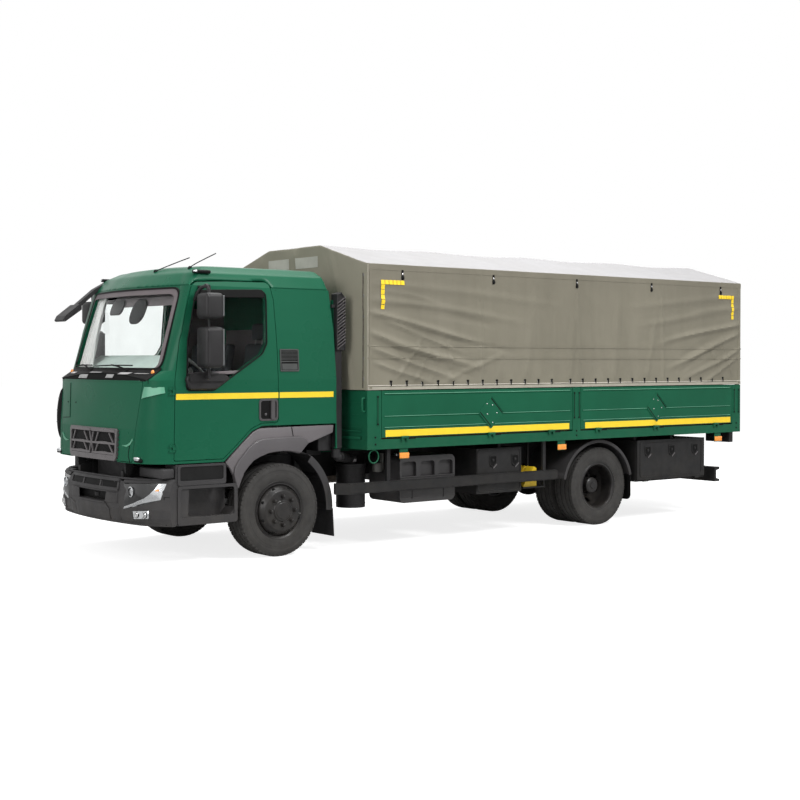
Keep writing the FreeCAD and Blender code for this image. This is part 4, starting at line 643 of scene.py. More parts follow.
# Folds on the cover's sides: from (y, z) to (y, z), height and half width, all in millimetres.
FOLDS = (
    (925, 2330, 2500, 2060, 15, 34), (940, 2170, 2350, 1800, 18, 38), (960, 2030, 2050, 1650, 14, 30),
    (1010, 1880, 1750, 1615, 12, 26), (930, 2480, 2950, 2290, 6, 40), (930, 2640, 3500, 2480, 4, 46),
    (1120, 2240, 2150, 1990, 9, 22), (1180, 2080, 1850, 1860, 9, 20), (1330, 1950, 2250, 1700, -10, 26),
    (1500, 2200, 2800, 1960, -9, 30), (1250, 2420, 2500, 2250, -8, 34), (1290, 1690, 1560, 2120, 8, 22),
    (1480, 1680, 1700, 2060, 7, 20), (1700, 1680, 1800, 2020, 6, 20), (2000, 1660, 1900, 2150, 7, 26),
    (1905, 1640, 2650, 1950, 8, 28), (2360, 1640, 2380, 2760, 6, 30), (2650, 1700, 2560, 2500, 6, 60),
    (3050, 1680, 3150, 2600, 6, 70), (3420, 1660, 3380, 2550, -6, 60), (3700, 1660, 3820, 2400, 7, 55),
    (3830, 1640, 3829, 2780, 5, 26), (4150, 1700, 4060, 2500, -5, 60), (4420, 1660, 4500, 2600, 6, 64),
    (4760, 1680, 4700, 2550, -6, 60), (5010, 1660, 5120, 2450, 6, 50), (5257, 1640, 5256, 2770, 6, 26),
    (6700, 2350, 5300, 2080, 14, 34), (6690, 2190, 5450, 1840, 16, 36), (6680, 2040, 5700, 1660, 13, 30),
    (6640, 1880, 5950, 1620, 11, 26), (6690, 2500, 4900, 2320, 6, 42), (6690, 2650, 4700, 2520, 4, 46),
    (6350, 2180, 5650, 1960, -9, 26), (6250, 2000, 5600, 1780, -9, 26), (6560, 1720, 6350, 2150, 8, 22),
    (6300, 1680, 6160, 2080, 7, 22), (6480, 2560, 5800, 2420, 4, 26), (1100, 2560, 1900, 2450, 4, 24),
)

# Shares of a fold's length at which it starts and ends
FOLD_START = -0.08
FOLD_END = 1.12


def roof_z(x):
    """Height of the taut roof across the cover."""
    if abs(x) <= RIDGE_X:
        return RIDGE_Z
    return RIDGE_Z + (EAVE_Z - RIDGE_Z) * (abs(x) - RIDGE_X) / (COVER_X - RIDGE_X)


def between_bows(y):
    """0 on a bow and 1 halfway between two."""
    for first, second in zip(BOW_Y, BOW_Y[1:]):
        if first <= y <= second:
            return math.sin(math.pi * (y - first) / (second - first)) ** 2
    return 0.0


def side_offset(y, z, side):
    """How far the cloth stands off its taut side face, in millimetres."""
    if side < 0:
        y = COVER_Y[0] + COVER_Y[1] - y
    stand = 0.0
    for y0, z0, y1, z1, height, width in FOLDS:
        dy, dz = y1 - y0, z1 - z0
        along = ((y - y0) * dy + (z - z0) * dz) / (dy * dy + dz * dz)
        if not FOLD_START < along < FOLD_END:
            continue
        bend = 26 * math.sin(3 * along + y0)
        away = ((y - y0) * dz - (z - z0) * dy) / math.hypot(dy, dz) + bend
        if abs(away) < 3 * width:
            fade = max(0.0, min(1.0, (along - FOLD_START) * 6)) * max(0.0, min(1.0, (FOLD_END - along) * 2.5))
            stand += 2.1 * height * fade * math.exp(-(away / (0.85 * width)) ** 2)
    slack = between_bows(y)
    place = Vector((y / 700, z / 520, 3.1 * side))
    stand += 5 * slack * noise.noise(place) + 3.0 * noise.noise(place * 3.1)
    stand -= 7 * slack * math.sin(math.pi * (z - HEM_Z) / (EAVE_Z - HEM_Z))
    if z < 1900:
        pull = math.cos(math.tau * (y - EYELET_Y[0]) / EYELET_STEP)
        stand += 2.6 * pull * math.exp(-((z - EYELET_Z) / 90) ** 2)
    edge = min(y - COVER_Y[0], COVER_Y[1] - y, (EAVE_Z - z) * 1.6)
    stand *= max(0.0, min(1.0, edge / 90))
    foot = max(0.0, min(1.0, (z - HEM_Z) / 60))
    return max(stand, -9) * (0.35 + 0.65 * foot) + 1.5


def end_offset(x, z, side):
    """How far the cloth stands off the front or rear face."""
    place = Vector((x / 420, z / 600, 9.7 * side))
    stand = 16 * noise.noise(place) + 5 * noise.noise(place * 3.3)
    across = abs(((x / 640) + (z - 1900) / 2400 * side) % 1 - 0.5)
    stand += 28 * math.exp(-(across / 0.06) ** 2) * (0.5 + 0.5 * noise.noise(place * 2))
    edge = min(COVER_X - abs(x), roof_z(x) - z)
    return max(stand * max(0.0, min(1.0, edge / 90)), -6) + 1.5


def roof_offset(x, y):
    """How far the roof sags between its bows."""
    edge = max(0.0, min(1.0, (COVER_X - abs(x)) / 160))
    sag = -16 * between_bows(y) * edge
    place = Vector((x / 500, y / 800, 4.4))
    return sag + 3.5 * noise.noise(place) * edge + 2.2 * noise.noise(place * 3.4) * edge


def sheet_of(name, columns, rows, placed):
    """A grid of columns by rows, each point put where placed says for its two shares from 0 to 1."""
    deselect()
    bpy.ops.mesh.primitive_grid_add(x_subdivisions=columns, y_subdivisions=rows, size=2)
    piece = bpy.context.object
    piece.name = name
    for point in piece.data.vertices:
        point.co = at(*placed((point.co.x + 1) / 2, (point.co.y + 1) / 2))
    return piece


def share(pair, part):
    return pair[0] + (pair[1] - pair[0]) * part


def shell_of(name, columns, rows, placed, thick, offset=0.0):
    """A curved grid, as sheet_of makes it, given a thickness in millimetres."""
    piece = sheet_of(name, columns, rows, placed)
    use(piece, "SOLIDIFY", thickness=thick / 1000, offset=offset)
    return mend_normals(piece)


def make_cover():
    """The laced cover: two sides, a roof and two ends, sewn into one sheet."""
    width = (-COVER_X, COVER_X)
    panels = []
    for side in (1, -1):
        def side_place(a, b, side=side):
            y, z = share(COVER_Y, a), share((HEM_Z, EAVE_Z), b)
            return side * (COVER_X + side_offset(y, z, side)), y, z
        panels.append(sheet_of("cover", 290, 62, side_place))
    for side, end in zip((1, -1), COVER_Y):
        def end_place(a, b, side=side, end=end):
            x = share(width, a)
            z = share((HEM_Z, roof_z(x)), b)
            return x, end - side * end_offset(x, z, side), z
        panels.append(sheet_of("cover", 86, 62, end_place))

    def roof_place(a, b):
        x, y = share(width, b), share(COVER_Y, a)
        return x, y, roof_z(x) + roof_offset(x, y)
    panels.append(sheet_of("cover", 290, 86, roof_place))
    cover = mend_normals(joined("cover", panels), 0.004)
    soften(cover, 9, 2, 58)
    fit(cover, "tarp", "chassis", 50)
    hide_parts("tarpaulin")
    return cover


def patch(side, y, z, thick, lift, cells=None):
    """A strip of cloth or tape that follows the cover's side, lifted off it by some millimetres."""
    columns = cells or max(2, int((y[1] - y[0]) / 30))
    rows = max(1, int((z[1] - z[0]) / 12))

    def place(a, b):
        py, pz = share(y, a), share(z, b)
        return side * (COVER_X + side_offset(py, pz, side) + lift), py, pz
    piece = sheet_of("patch", columns, rows, place)
    if side < 0:
        mend_normals(piece)
    use(piece, "SOLIDIFY", thickness=thick / 1000, offset=float(side))
    return mend_normals(piece)


EYELET = [(0, 9), (0, 17), (2.2, 16), (3.6, 13), (3.2, 10), (0, 9)]
ROPE_Z = 1634


def make_side_trim(side, tail):
    """Hem, seams, eyelets, lacing rope on its hooks, marks and buckled straps on one side of the cover."""
    def cloth_x(y, z, stand=0):
        return side * (COVER_X + side_offset(y, z, side) + stand)

    length = (890, 6733)
    hem = [patch(side, length, (1591, 1622), 2.0, 0.8, 290),
           patch(side, (888, 896), (1600, 2830), 3.0, 0.5)]
    seams = [patch(side, length, (2020, 2036), 5, 0.5, 290),
             patch(side, length, (1900, 1912), 5, 0.5, 290),
             patch(side, length, (2780, 2836), 2.0, 0.5, 290),
             patch(side, (912, 945), (1600, 2790), 2.5, 0.8),
             patch(side, (6680, 6718), (1600, 2790), 2.5, 0.8)]
    pieces = [fit(joined("cover_hem_" + tail, hem), "tarp_band", "chassis"),
              fit(joined("cover_seams_" + tail, seams), "tarp", "chassis")]

    rings = []
    hooks = []
    for y in EYELET_Y:
        rings.append(turned("eyelet", EYELET, (cloth_x(y, EYELET_Z), y, EYELET_Z), "X", 16, side))
        x = cloth_x(y, 1640)
        hooks.append(block("hook", (x + side * 3, x + side * 13), (y - 6, y + 6), (1624, 1664), 2, 1))
        hooks.append(block("hook", (x + side * 2, x + side * 8), (y - 15, y + 15), (1662, 1682), 4, 2))
    rope = [(cloth_x(y, ROPE_Z, 6.5), y, ROPE_Z) for y in range(895, 6716, 60)]
    pieces.append(fit(joined("cover_eyelets_" + tail, rings), "dull_metal", "chassis"))
    pieces.append(fit(rod("cover_rope_" + tail, rope, 3.4, 2, 3, False, 2), "white_rope", "chassis"))
    pieces.append(fit(joined("cover_hooks_" + tail, hooks), "rubber", "chassis"))

    marks = []
    for corner, way in ((1050, 1), (6590, -1)):
        for across, down in [(i, 0) for i in range(6)] + [(0, i) for i in range(1, 6)]:
            ys = sorted(corner + way * (50 * across + inset) for inset in (3, 47))
            foot = 2641 - 50 * down if down else 2638
            marks.append(patch(side, ys, (foot, foot + 44), 1.2, 5, 6))
    pieces.append(fit(joined("cover_marks_" + tail, marks), "yellow_tape", "chassis"))

    straps = []
    studs = []
    for y in (1330, 2568, 3822, 5073, 6338):
        x = cloth_x(y, 2712)
        straps.append(patch(side, (y - 13, y + 13), (2688, 2788), 3.0, 1.2, 2))
        straps.append(block("buckle", (x + side * 3, x + side * 12), (y - 17, y + 17), (2694, 2726), 3))
        studs.append(turned("stud", [(0, 0.2), (0, 11), (4, 10), (6, 6), (6.5, 0.2)],
                            (x + side * 5, y, 2748), "X", 16, side))
    pieces.append(fit(joined("cover_straps_" + tail, straps), "rubber", "chassis"))
    pieces.append(fit(joined("cover_studs_" + tail, studs), "bright_metal", "chassis"))
    return pieces


def make_end_trim(end, way, tail):
    """Lacing through its eyelets, up both edges of the cover's front or rear."""
    pieces = []
    rings = []
    for x, edge in ((-1215, "right"), (1215, "left")):
        lace = []
        for i in range(6):
            z = 1700 + EYELET_STEP * i
            y = end - way * end_offset(x, z, way)
            rings.append(turned("eyelet", EYELET, (x, y, z), "Y", 16, -way))
            for rise in (-90, -22, 0, 22):
                lace.append((x + (2 if i % 2 else -2), y - way * 5, z + rise))
        cord = rod("cover_lace_%s_%s" % (tail, edge), lace, 6, 2, 3, False, 3)
        pieces.append(fit(cord, "lace", "chassis"))
    pieces.append(fit(joined("cover_eyelets_" + tail, rings), "dull_metal", "chassis"))
    return pieces


def make_cover_trim():
    """All that is sewn, riveted or laced to the cover."""
    pieces = make_side_trim(1, "left") + make_side_trim(-1, "right")
    pieces += make_end_trim(COVER_Y[0], 1, "front") + make_end_trim(COVER_Y[1], -1, "rear")
    windows = []
    for x in ((50, 440), (-480, -80)):
        def pane_place(a, b, x=x):
            px, pz = share(x, a), share((2845, 2958), b)
            return px, COVER_Y[0] - end_offset(px, pz, 1) - 1, pz
        windows.append(shell_of("pane", 14, 5, pane_place, 1.5, 1.0))
    pieces.append(fit(joined("cover_vents", windows), "tarp_light", "chassis"))
    return pieces


def lay_cover():
    """Makes the cover and its trim."""
    cover = make_cover()
    trim = make_cover_trim()


def tyre_profile():
    """Half the tyre's section, from the bead to the tread's middle, as (along, radius)."""
    wall = [(104, 252), (112, 254), (119, 262), (124, 270), (129, 280), (131, 283), (132, 288), (136, 300),
            (138.5, 312), (138.5, 315), (140.2, 317), (140.8, 330), (141.3, 344), (141.3, 347), (139.8, 349),
            (139.6, 362), (138.4, 376), (138.4, 379), (139.4, 381), (138.6, 392), (136.6, 404), (134.4, 412),
            (132, 420), (129, 429), (124, 436)]
    tread = [(95.5, 436.4), (84.5, 433), (84.5, 446), (82.5, 446.8), (41.5, 447), (39.5, 446.2), (39.5, 433),
             (28.5, 433), (28.5, 446.2), (26.5, 447)]
    return wall + tread


def make_tyre(name, x, y):
    """One tyre with ribbed walls, four grooves and blocks on its shoulders, around its own middle."""
    half = tyre_profile()
    line = [(-along, radius) for along, radius in half] + half[::-1]
    pieces = [turned(name, line, (x, y, TYRE_R), "X", 96)]
    top = 2 * TYRE_R / 1000
    for side in (1, -1):
        deselect()
        bpy.ops.mesh.primitive_cube_add(size=1, location=at(x + side * 115, y, TYRE_R + 438.5))
        lug = bpy.context.object
        lug.scale = (0.039, 0.0385, 0.017)
        settle(lug)
        for point in lug.data.vertices:
            outward = (point.co.x * 1000 - x) * side
            if point.co.z > top - 0.004 and outward > 120:
                point.co.z -= 0.0055
                point.co.x -= side * 0.004
            if outward > 120:
                point.co.y += side * 0.006
                if point.co.z < top - 0.006:
                    point.co.z -= 0.006
        soften(lug, 1.6, 1)
        pick(lug)
        bpy.ops.object.mode_set(mode="EDIT")
        bpy.ops.mesh.select_all(action="SELECT")
        bpy.ops.mesh.spin(steps=LUGS_ROUND, dupli=True, angle=math.tau, center=at(x, y, TYRE_R),
                          axis=(1, 0, 0))
        bpy.ops.object.mode_set(mode="OBJECT")
        pieces.append(mend_normals(lug, 0.0002))
    return joined(name, pieces)


WHEEL_X = 923.5
TWIN_X = (696, 1014)
LUGS_ROUND = 60


def make_tyres():
    """A tyre on each front wheel and two on each rear one, all copies of the first."""
    first = make_tyre("tyre_tread_front_left", WHEEL_X, 0)
    second = copied(first, "tyre_tread_front_right", (-2 * WHEEL_X, 0, 0))
    tyres = [(first, "wheel_front_left", "tyre_front_left"),
             (second, "wheel_front_right", "tyre_front_right")]
    for tail, sign in (("left", 1), ("right", -1)):
        pair = [copied(first, "tyre", (sign * x - WHEEL_X, WHEELBASE, 0)) for x in TWIN_X]
        tyres.append((joined("tyre_tread_rear_" + tail, pair), "wheels_rear_" + tail, "tyres_rear_" + tail))
    for piece, body, node in tyres:
        fit(piece, "tyre", body, 32)
        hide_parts(node)


# The cab's front: height, its middle's Y, and the corner's X and Y
FRONT_LEVELS = ((940, -1445, 755, -1405), (1250, -1436, 790, -1392), (1700, -1420, 852, -1346),
                (1790, -1300, 930, -1190), (2170, -1205, 893, -1085), (2575, -1095, 848, -968),
                (2700, -975, 760, -880), (2765, -850, 640, -760))
BUMPER_LEVELS = ((370, 30), (440, 8), (520, 0), (690, 6), (760, 20), (800, 52))
BUMPER_PLAN = ((0, 0), (200, 5), (400, 20.5), (600, 46), (780, 78), (880, 126), (960, 178), (1010, 222),
               (1050, 266))


def between(table, value):
    """Straight-line reading of a table of rows, its first column being the value."""
    value = max(table[0][0], min(table[-1][0], value))
    for low_row, high_row in zip(table, table[1:]):
        if value <= high_row[0]:
            part = (value - low_row[0]) / (high_row[0] - low_row[0])
            return [a + (b - a) * part for a, b in zip(low_row[1:], high_row[1:])]
    return list(table[-1][1:])


def front_y(x, z):
    """Where the cab's front lies at a place across and a height."""
    middle, corner_x, corner_y = between(FRONT_LEVELS, z)
    return middle + (corner_y - middle) * (x / corner_x) ** 2


def bumper_y(x, z):
    return -1456 + between(BUMPER_LEVELS, z)[0] + between(BUMPER_PLAN, abs(x))[0]


def pressed(piece, surface):
    """Lays a flat piece, drawn about Y 0, onto a front surface."""
    for point in piece.data.vertices:
        point.co.y += surface(point.co.x * 1000, point.co.z * 1000) / 1000
    return piece


def ahead(surface, step):
    """A front surface moved forward by a step in millimetres."""
    return lambda x, z: surface(x, z) - step


def fine_plate(name, rings, thick, surface, edge, step=60):
    """A plate for a curved front, cut into narrow strips before it is pressed on."""
    piece = plate(name, rings, "y", 0, thick, 0)
    pick(piece)
    bpy.ops.object.mode_set(mode="EDIT")
    low_x = min(u for u, v in rings[0])
    high_x = max(u for u, v in rings[0])
    cut_x = low_x + step
    while cut_x < high_x - 1:
        bpy.ops.mesh.select_all(action="SELECT")
        bpy.ops.mesh.bisect(plane_co=(cut_x / 1000, 0, 0), plane_no=(1, 0, 0))
        cut_x += step
    bpy.ops.object.mode_set(mode="OBJECT")
    pressed(piece, surface)
    if edge:
        soften(piece, edge, 1, 50)
    return piece


def bar(name, u0, v0, u1, v1, width, thick, surface, step=60):
    """A straight rib from one place to another on a curved front, as wide as given."""
    run = math.hypot(u1 - u0, v1 - v0)
    du, dv = (u1 - u0) / run * width / 2, (v1 - v0) / run * width / 2
    ring = [(u0 - dv, v0 + du), (u0 + dv, v0 - du), (u1 + dv, v1 - du), (u1 - dv, v1 + du)]
    return fine_plate(name, [ring], thick, surface, 1.2, step)


def make_grille():
    """Grey grille frame with arched bars and slanted ribs over a dark screen."""
    face = ahead(front_y, 6)
    deep = ahead(front_y, 1.5)
    screen = fine_plate("grille_screen", [rounded_ring(-488, 488, 962, 1240, 30)], 3, deep, 0)
    fit(screen, "rubber", "flap")
    outline = [(-462, 948), (462, 948), (490, 985), (496, 1222), (478, 1248), (-478, 1248), (-496, 1222),
               (-490, 985)]
    hole = [(-440, 998), (440, 998), (462, 1026), (464, 1196), (450, 1212), (-450, 1212), (-464, 1196),
            (-462, 1026)]
    pieces = [fine_plate("grille_frame", [outline, hole], 26, face, 4)]
    for z, tall, thick in ((1228, 34, 34), (1108, 26, 24), (1014, 26, 26)):
        for x0, x1 in ((-462, -20), (20, 462)):
            foot, shoulder, crown = z - tall / 2, z + tall / 2 - 8, z + tall / 2
            ring = [(x0, foot), (x1, foot), (x1, shoulder), ((x0 * 2 + x1) / 3, crown),
                    ((x0 + x1 * 2) / 3, crown), (x0, shoulder)]
            pieces.append(fine_plate("grille_bar", [ring], thick, face, 3))
    middles = (-255, 255)
    for z0, z1 in ((1016, 1102), (1112, 1204)):
        for mid in middles:
            for top, foot in ((mid - 118, mid - 170), (mid + 88, mid + 172)):
                pieces.append(bar("grille_rib", top, z1, foot, z0, 15, 20, face))
    for x0, x1 in ((-38, -6), (38, 6)):
        pieces.append(bar("grille_rib", x0, 1206, x1, 1110, 15, 22, face))
        pieces.append(bar("grille_rib", x1, 1110, x0, 1010, 15, 22, face))
    fit(joined("grille", pieces), "grille_grey", "flap")
    slats = []
    for z0, z1 in ((1026, 1094), (1124, 1200)):
        for mid in middles:
            for i in range(5):
                z = z0 + (z1 - z0) * (i + 0.5) / 5
                slats.append(bar("grille_slat", mid - 150, z, mid + 110, z, 5, 8, deep))
    fit(joined("grille_slats", slats), "rubber", "flap")


def make_flap_trim():
    """Lines, lips and screws of the front flap."""
    seams = []
    for u0, v0, u1, v1, step in ((-590, 1660, -560, 1322, 400), (-560, 1322, -765, 1312, 60),
                                 (700, 945, 672, 1010, 400), (672, 1010, 690, 1100, 400)):
        seams.append(bar("seam", u0, v0, u1, v1, 6, 4.5, ahead(front_y, 2), step))
    fit(joined("flap_seams", seams), "rubber", "flap")
    lip = fine_plate("flap_lip", [[(-800, 1684), (800, 1684), (790, 1696), (-790, 1696)]], 8,
                     ahead(front_y, 3), 2)
    fit(lip, "cab_paint", "flap")
    screws = []
    for x in (-640, -420):
        screws.append(turned("screw", [(0, 0.2), (0, 9), (3, 8), (4.5, 4), (5, 0.2)],
                             (x, front_y(x, 1470), 1470), "Y", 14, -1))
    fit(joined("flap_screws", screws), "rubber", "flap")
    # The raised creases are drawn in the lighter green: painted highlights along the flap's crease.
    crease = [(560, 1098), (640, 1104), (700, 1128), (738, 1168), (744, 1150), (704, 1108), (640, 1086)]
    creases = [fine_plate("crease", [on_side(crease, side)], 8, ahead(front_y, 3), 3) for side in (1, -1)]
    fit(joined("flap_creases", creases), "painted_highlight_green", "flap")


CORNER = ((816, -1362), (861, -1348), (900, -1322), (960, -1275), (1020, -1222), (1050, -1180))


def corner_y(x, z):
    """Where the cab's front corner lies, outside the flap."""
    return between(CORNER, abs(x))[0] + between(((1180, -20), (1640, 0)), z)[0]


def make_corners():
    """Air deflector on the right corner and the scoop pressed into the left one."""
    def vent_place(a, b):
        x, z = share((846, 1010), a), share((1095, 1602), b)
        bulge = math.sin(math.pi * min(1, max(0, a))) ** 0.5 * math.sin(math.pi * b) ** 0.45
        return -x - 26 * bulge, corner_y(x, z) - 50 * bulge - 1, z
    vent = shell_of("corner_deflector", 18, 26, vent_place, 4)
    fit(vent, "rubber", "cab")
    ribs = []
    for z in (1260, 1380, 1500):
        line = []
        for i in range(9):
            x, y, height = vent_place((i + 0.5) / 9, (z - 1095) / 507)
            line.append((x - 2, y - 4, height))
        ribs.append(rod("rib", line, 4, 1, 3, False, 2))
    fit(joined("corner_ribs", ribs), "bumper_grey", "cab")

    # The scoop is drawn in the lighter green: a painted highlight on its upward face.
    def scoop_place(a, b):
        x = share((share((838, 1024), a), share((864, 1018), a)), b)
        z = share((share((1532, 1586), a), 1640), b)
        fade = math.sin(math.pi * a) ** 0.4
        return x + 12 * (1 - b) * fade + 4 * fade, corner_y(x, z) - 3 - (17 - 6 * b) * fade, z
    scoop = shell_of("corner_scoop", 14, 8, scoop_place, 3)
    fit(scoop, "painted_highlight_green", "cab")


def make_cowl():
    """Black cowl under the windscreen, behind the flap's upper edge, with its louvres."""
    def first_z(x):
        z = 1700
        while front_y(x, z) < -1339 and z < 1800:
            z += 1
        return z

    def cowl_place(a, b):
        x = share((-905, 905), a)
        turn_z = first_z(x)
        if b < 0.4:
            return x, max(-1335, front_y(x, 1700) + 10), share((1668, turn_z + 3), b / 0.4)
        z = share((turn_z + 3, 1812), (b - 0.4) / 0.6)
        return x, front_y(x, z) - 5, z
    fit(shell_of("cowl", 60, 20, cowl_place, 4, 1.0), "rubber", "cab")
    # Pale plates standing off the cowl are painted glints: reflections of the sky on its glossy ribs.
    glints = []
    for x0, x1, z0, z1 in ((-800, -610, 1752, 1768), (-520, -300, 1708, 1746), (60, 250, 1716, 1750),
                           (330, 560, 1752, 1770), (-260, 20, 1764, 1772), (600, 830, 1758, 1763)):
        ring = [(x0, z0), (x1 - 40, z0), (x1, z1), (x0 + 40, z1)]
        stand = 20 if z0 > 1740 else 13
        surface = ahead(lambda x, z: max(front_y(x, z), -1326), stand)
        glints.append(fine_plate("glint_plate", [ring], 4, surface, 1, 50))
    fit(joined("cowl_glints", glints), "pale_grey_and_painted_glint", "cab")
    louvres = []
    for x in (-560, -470, -380, 60, 150, 240, 330):
        y = front_y(x, 1782) - 11
        louvres.append(block("louvre", (x - 36, x + 36), (y - 2, y + 5), (1776, 1786), 2, 1))
        louvres.append(block("louvre", (x - 36, x + 36), (y - 8, y - 1), (1762, 1770), 2, 1))
    fit(joined("cowl_louvres", louvres), "rubber", "cab")


def make_wipers():
    """Two wipers: a capped pivot, a bent arm and the blade on the glass."""
    def glass_y(x, z, off):
        return front_y(x, z) - off

    for number, (px, x0, x1) in enumerate(((-300, -860, -330), (430, -230, 480))):
        pivot = turned("pivot", [(0, 0.2), (0, 17), (16, 15), (22, 10), (23, 0.2)],
                       (px, glass_y(px, 1786, 4), 1786), "Y", 20, -1)
        middle, near, far = share((x0, x1), 0.5), share((x0, x1), 0.33), share((x0, x1), 0.67)
        arm = rod("arm", [(px, glass_y(px, 1790, 22), 1786), (px - 25, glass_y(px, 1800, 34), 1800),
                          (px - 120, glass_y(px - 120, 1822, 34), 1822),
                          (middle + 60, glass_y(middle, 1836, 28), 1836),
                          (middle, glass_y(middle, 1838, 20), 1838)], 8, 2)
        blade = rod("blade", [(x0, glass_y(x0, 1826, 10), 1826), (near, glass_y(near, 1834, 13), 1834),
                              (far, glass_y(far, 1836, 13), 1836), (x1, glass_y(x1, 1834, 10), 1834)], 7, 1)
        fit(joined("wiper_%d" % (number + 1), [pivot, arm, blade]), "rubber", "cab")


def screen_ring(grow, radius, slim=0):
    """The windscreen's outline with rounded corners, grown outward, its right side slimmer by a bit."""
    low, top = (905 + grow, 1800 - grow), (874 + grow, 2556 + grow)
    corners = [(-low[0] - slim, low[1] - slim), (low[0], low[1] - slim), top, (-top[0] - slim, top[1])]
    ring = []
    for i, corner in enumerate(corners):
        before, after = Vector(corners[i - 1]), Vector(corners[(i + 1) % 4])
        corner = Vector(corner)
        first = corner + (before - corner).normalized() * radius
        last = corner + (after - corner).normalized() * radius
        for step in range(7):
            t = step / 6
            spot = first * (1 - t) ** 2 + corner * 2 * t * (1 - t) + last * t * t
            ring.append((spot.x, spot.y))
    return ring


def make_screen_surround():
    """Black seal round the windscreen, its dark shade, the dashboard's top and the sun visors."""
    seal = fine_plate("screen_seal", [screen_ring(8, 110), screen_ring(-9, 95)], 12, ahead(front_y, 4), 2)
    fit(seal, "rubber", "cab")
    shade = fine_plate("screen_shade", [screen_ring(-8, 96), screen_ring(-56, 70, 44)], 5,
                       ahead(front_y, 1.5), 0)
    fit(shade, "visor_grey", "cab")

    def dash_place(a, b):
        x = share((-800, 800), a)
        return x, share((-1190, -985), b) + 30 * (x / 800) ** 2, share((1806, 1930), b ** 0.8)
    fit(shell_of("dash_top", 30, 8, dash_place, 6, -1.0), "dash_pale", "cab")

    def behind(x, z):
        return front_y(x, z) + 75 + (z - 2300) * 0.12
    header = fine_plate("screen_header", [rounded_ring(-360, 790, 2396, 2504, 24)], 14, behind, 4, 90)
    fit(header, "visor_grey", "cab")
    visors = [fine_plate("visor", [ring], 18, ahead(behind, 22), 4, 90)
              for ring in (rounded_ring(-340, -60, 2322, 2470, 60), rounded_ring(140, 375, 2226, 2470, 96))]
    fit(joined("sun_visors", visors), "black_plastic", "cab")


def make_bumper_trim():
    """Step plate, bars, ribs and skid lip of the bumper."""
    face = ahead(bumper_y, 3)
    plan = [(0, -1420), (300, -1412), (500, -1396), (700, -1360), (830, -1300), (930, -1230), (1000, -1165),
            (1022, -1128)]
    inner = [(x, y + 16) for x, y in plan[:-1]]
    ring = plan + inner[::-1] + [(-x, y) for x, y in inner[1:]] + [(-x, y) for x, y in plan[:0:-1]]
    pieces = [plate("bumper_cap", [ring], "z", 790, 20, 7, 3)]
    for z, tall, x1, thick in ((774, 26, 500, 30), (684, 30, 500, 26), (550, 14, 286, 30)):
        foot, crown = z - tall / 2, z + tall / 2
        ring = [(-x1, foot), (x1, foot), (x1 - 12, crown), (-x1 + 12, crown)]
        pieces.append(fine_plate("bumper_bar", [ring], thick, face, 4))
    for x in (-492, -180, 180, 492):
        pieces.append(bar("bumper_post", x, 690, x * 0.97, 772, 26, 22, face))
    for side in (1, -1):
        for name, ring, thick, edge in (
                ("bumper_side", [(268, 556), (484, 556), (484, 654), (290, 654)], 10, 3),
                ("bumper_wing", [(364, 394), (528, 394), (528, 536), (498, 524), (364, 488)], 12, 4),
                ("bumper_brow", [(560, 778), (1000, 792), (1000, 772), (560, 752)], 22, 4)):
            pieces.append(fine_plate(name, [on_side(ring, side)], thick, face, edge))
        lip = rounded_ring(*sorted((side * 540, side * 985)), 376, 392, 6)
        pieces.append(fine_plate("bumper_lip", [lip], 12, face, 2))
    step = [(-350, 396), (350, 396), (350, 496), (288, 542), (-288, 542), (-350, 496)]
    pieces.append(fine_plate("bumper_step", [step], 22, face, 6))
    fit(joined("bumper_bars", pieces), "bumper_grey", "chassis")
    gaps = []
    for x0, x1 in ((-476, -198), (-162, 162), (198, 476)):
        gap = [(x0 + 22, 702), (x1 - 22, 702), (x1, 756), (x0, 756)]
        gaps.append(fine_plate("bumper_gap", [gap], 4, ahead(bumper_y, 2.5), 0))
    for side in (1, -1):
        for x0, z0, x1, z1 in ((540, 380, 540, 770), (1012, 380, 1012, 640), (1012, 640, 1046, 640)):
            gaps.append(bar("bumper_joint", side * x0, z0, side * x1, z1, 5, 4, ahead(bumper_y, 0.6), 400))
    fit(joined("bumper_gaps", gaps), "rubber", "chassis")
    core = block("bumper_core", (-470, 470), (-1392, -1384), (564, 646), 2)
    fit(core, "rubber", "chassis")


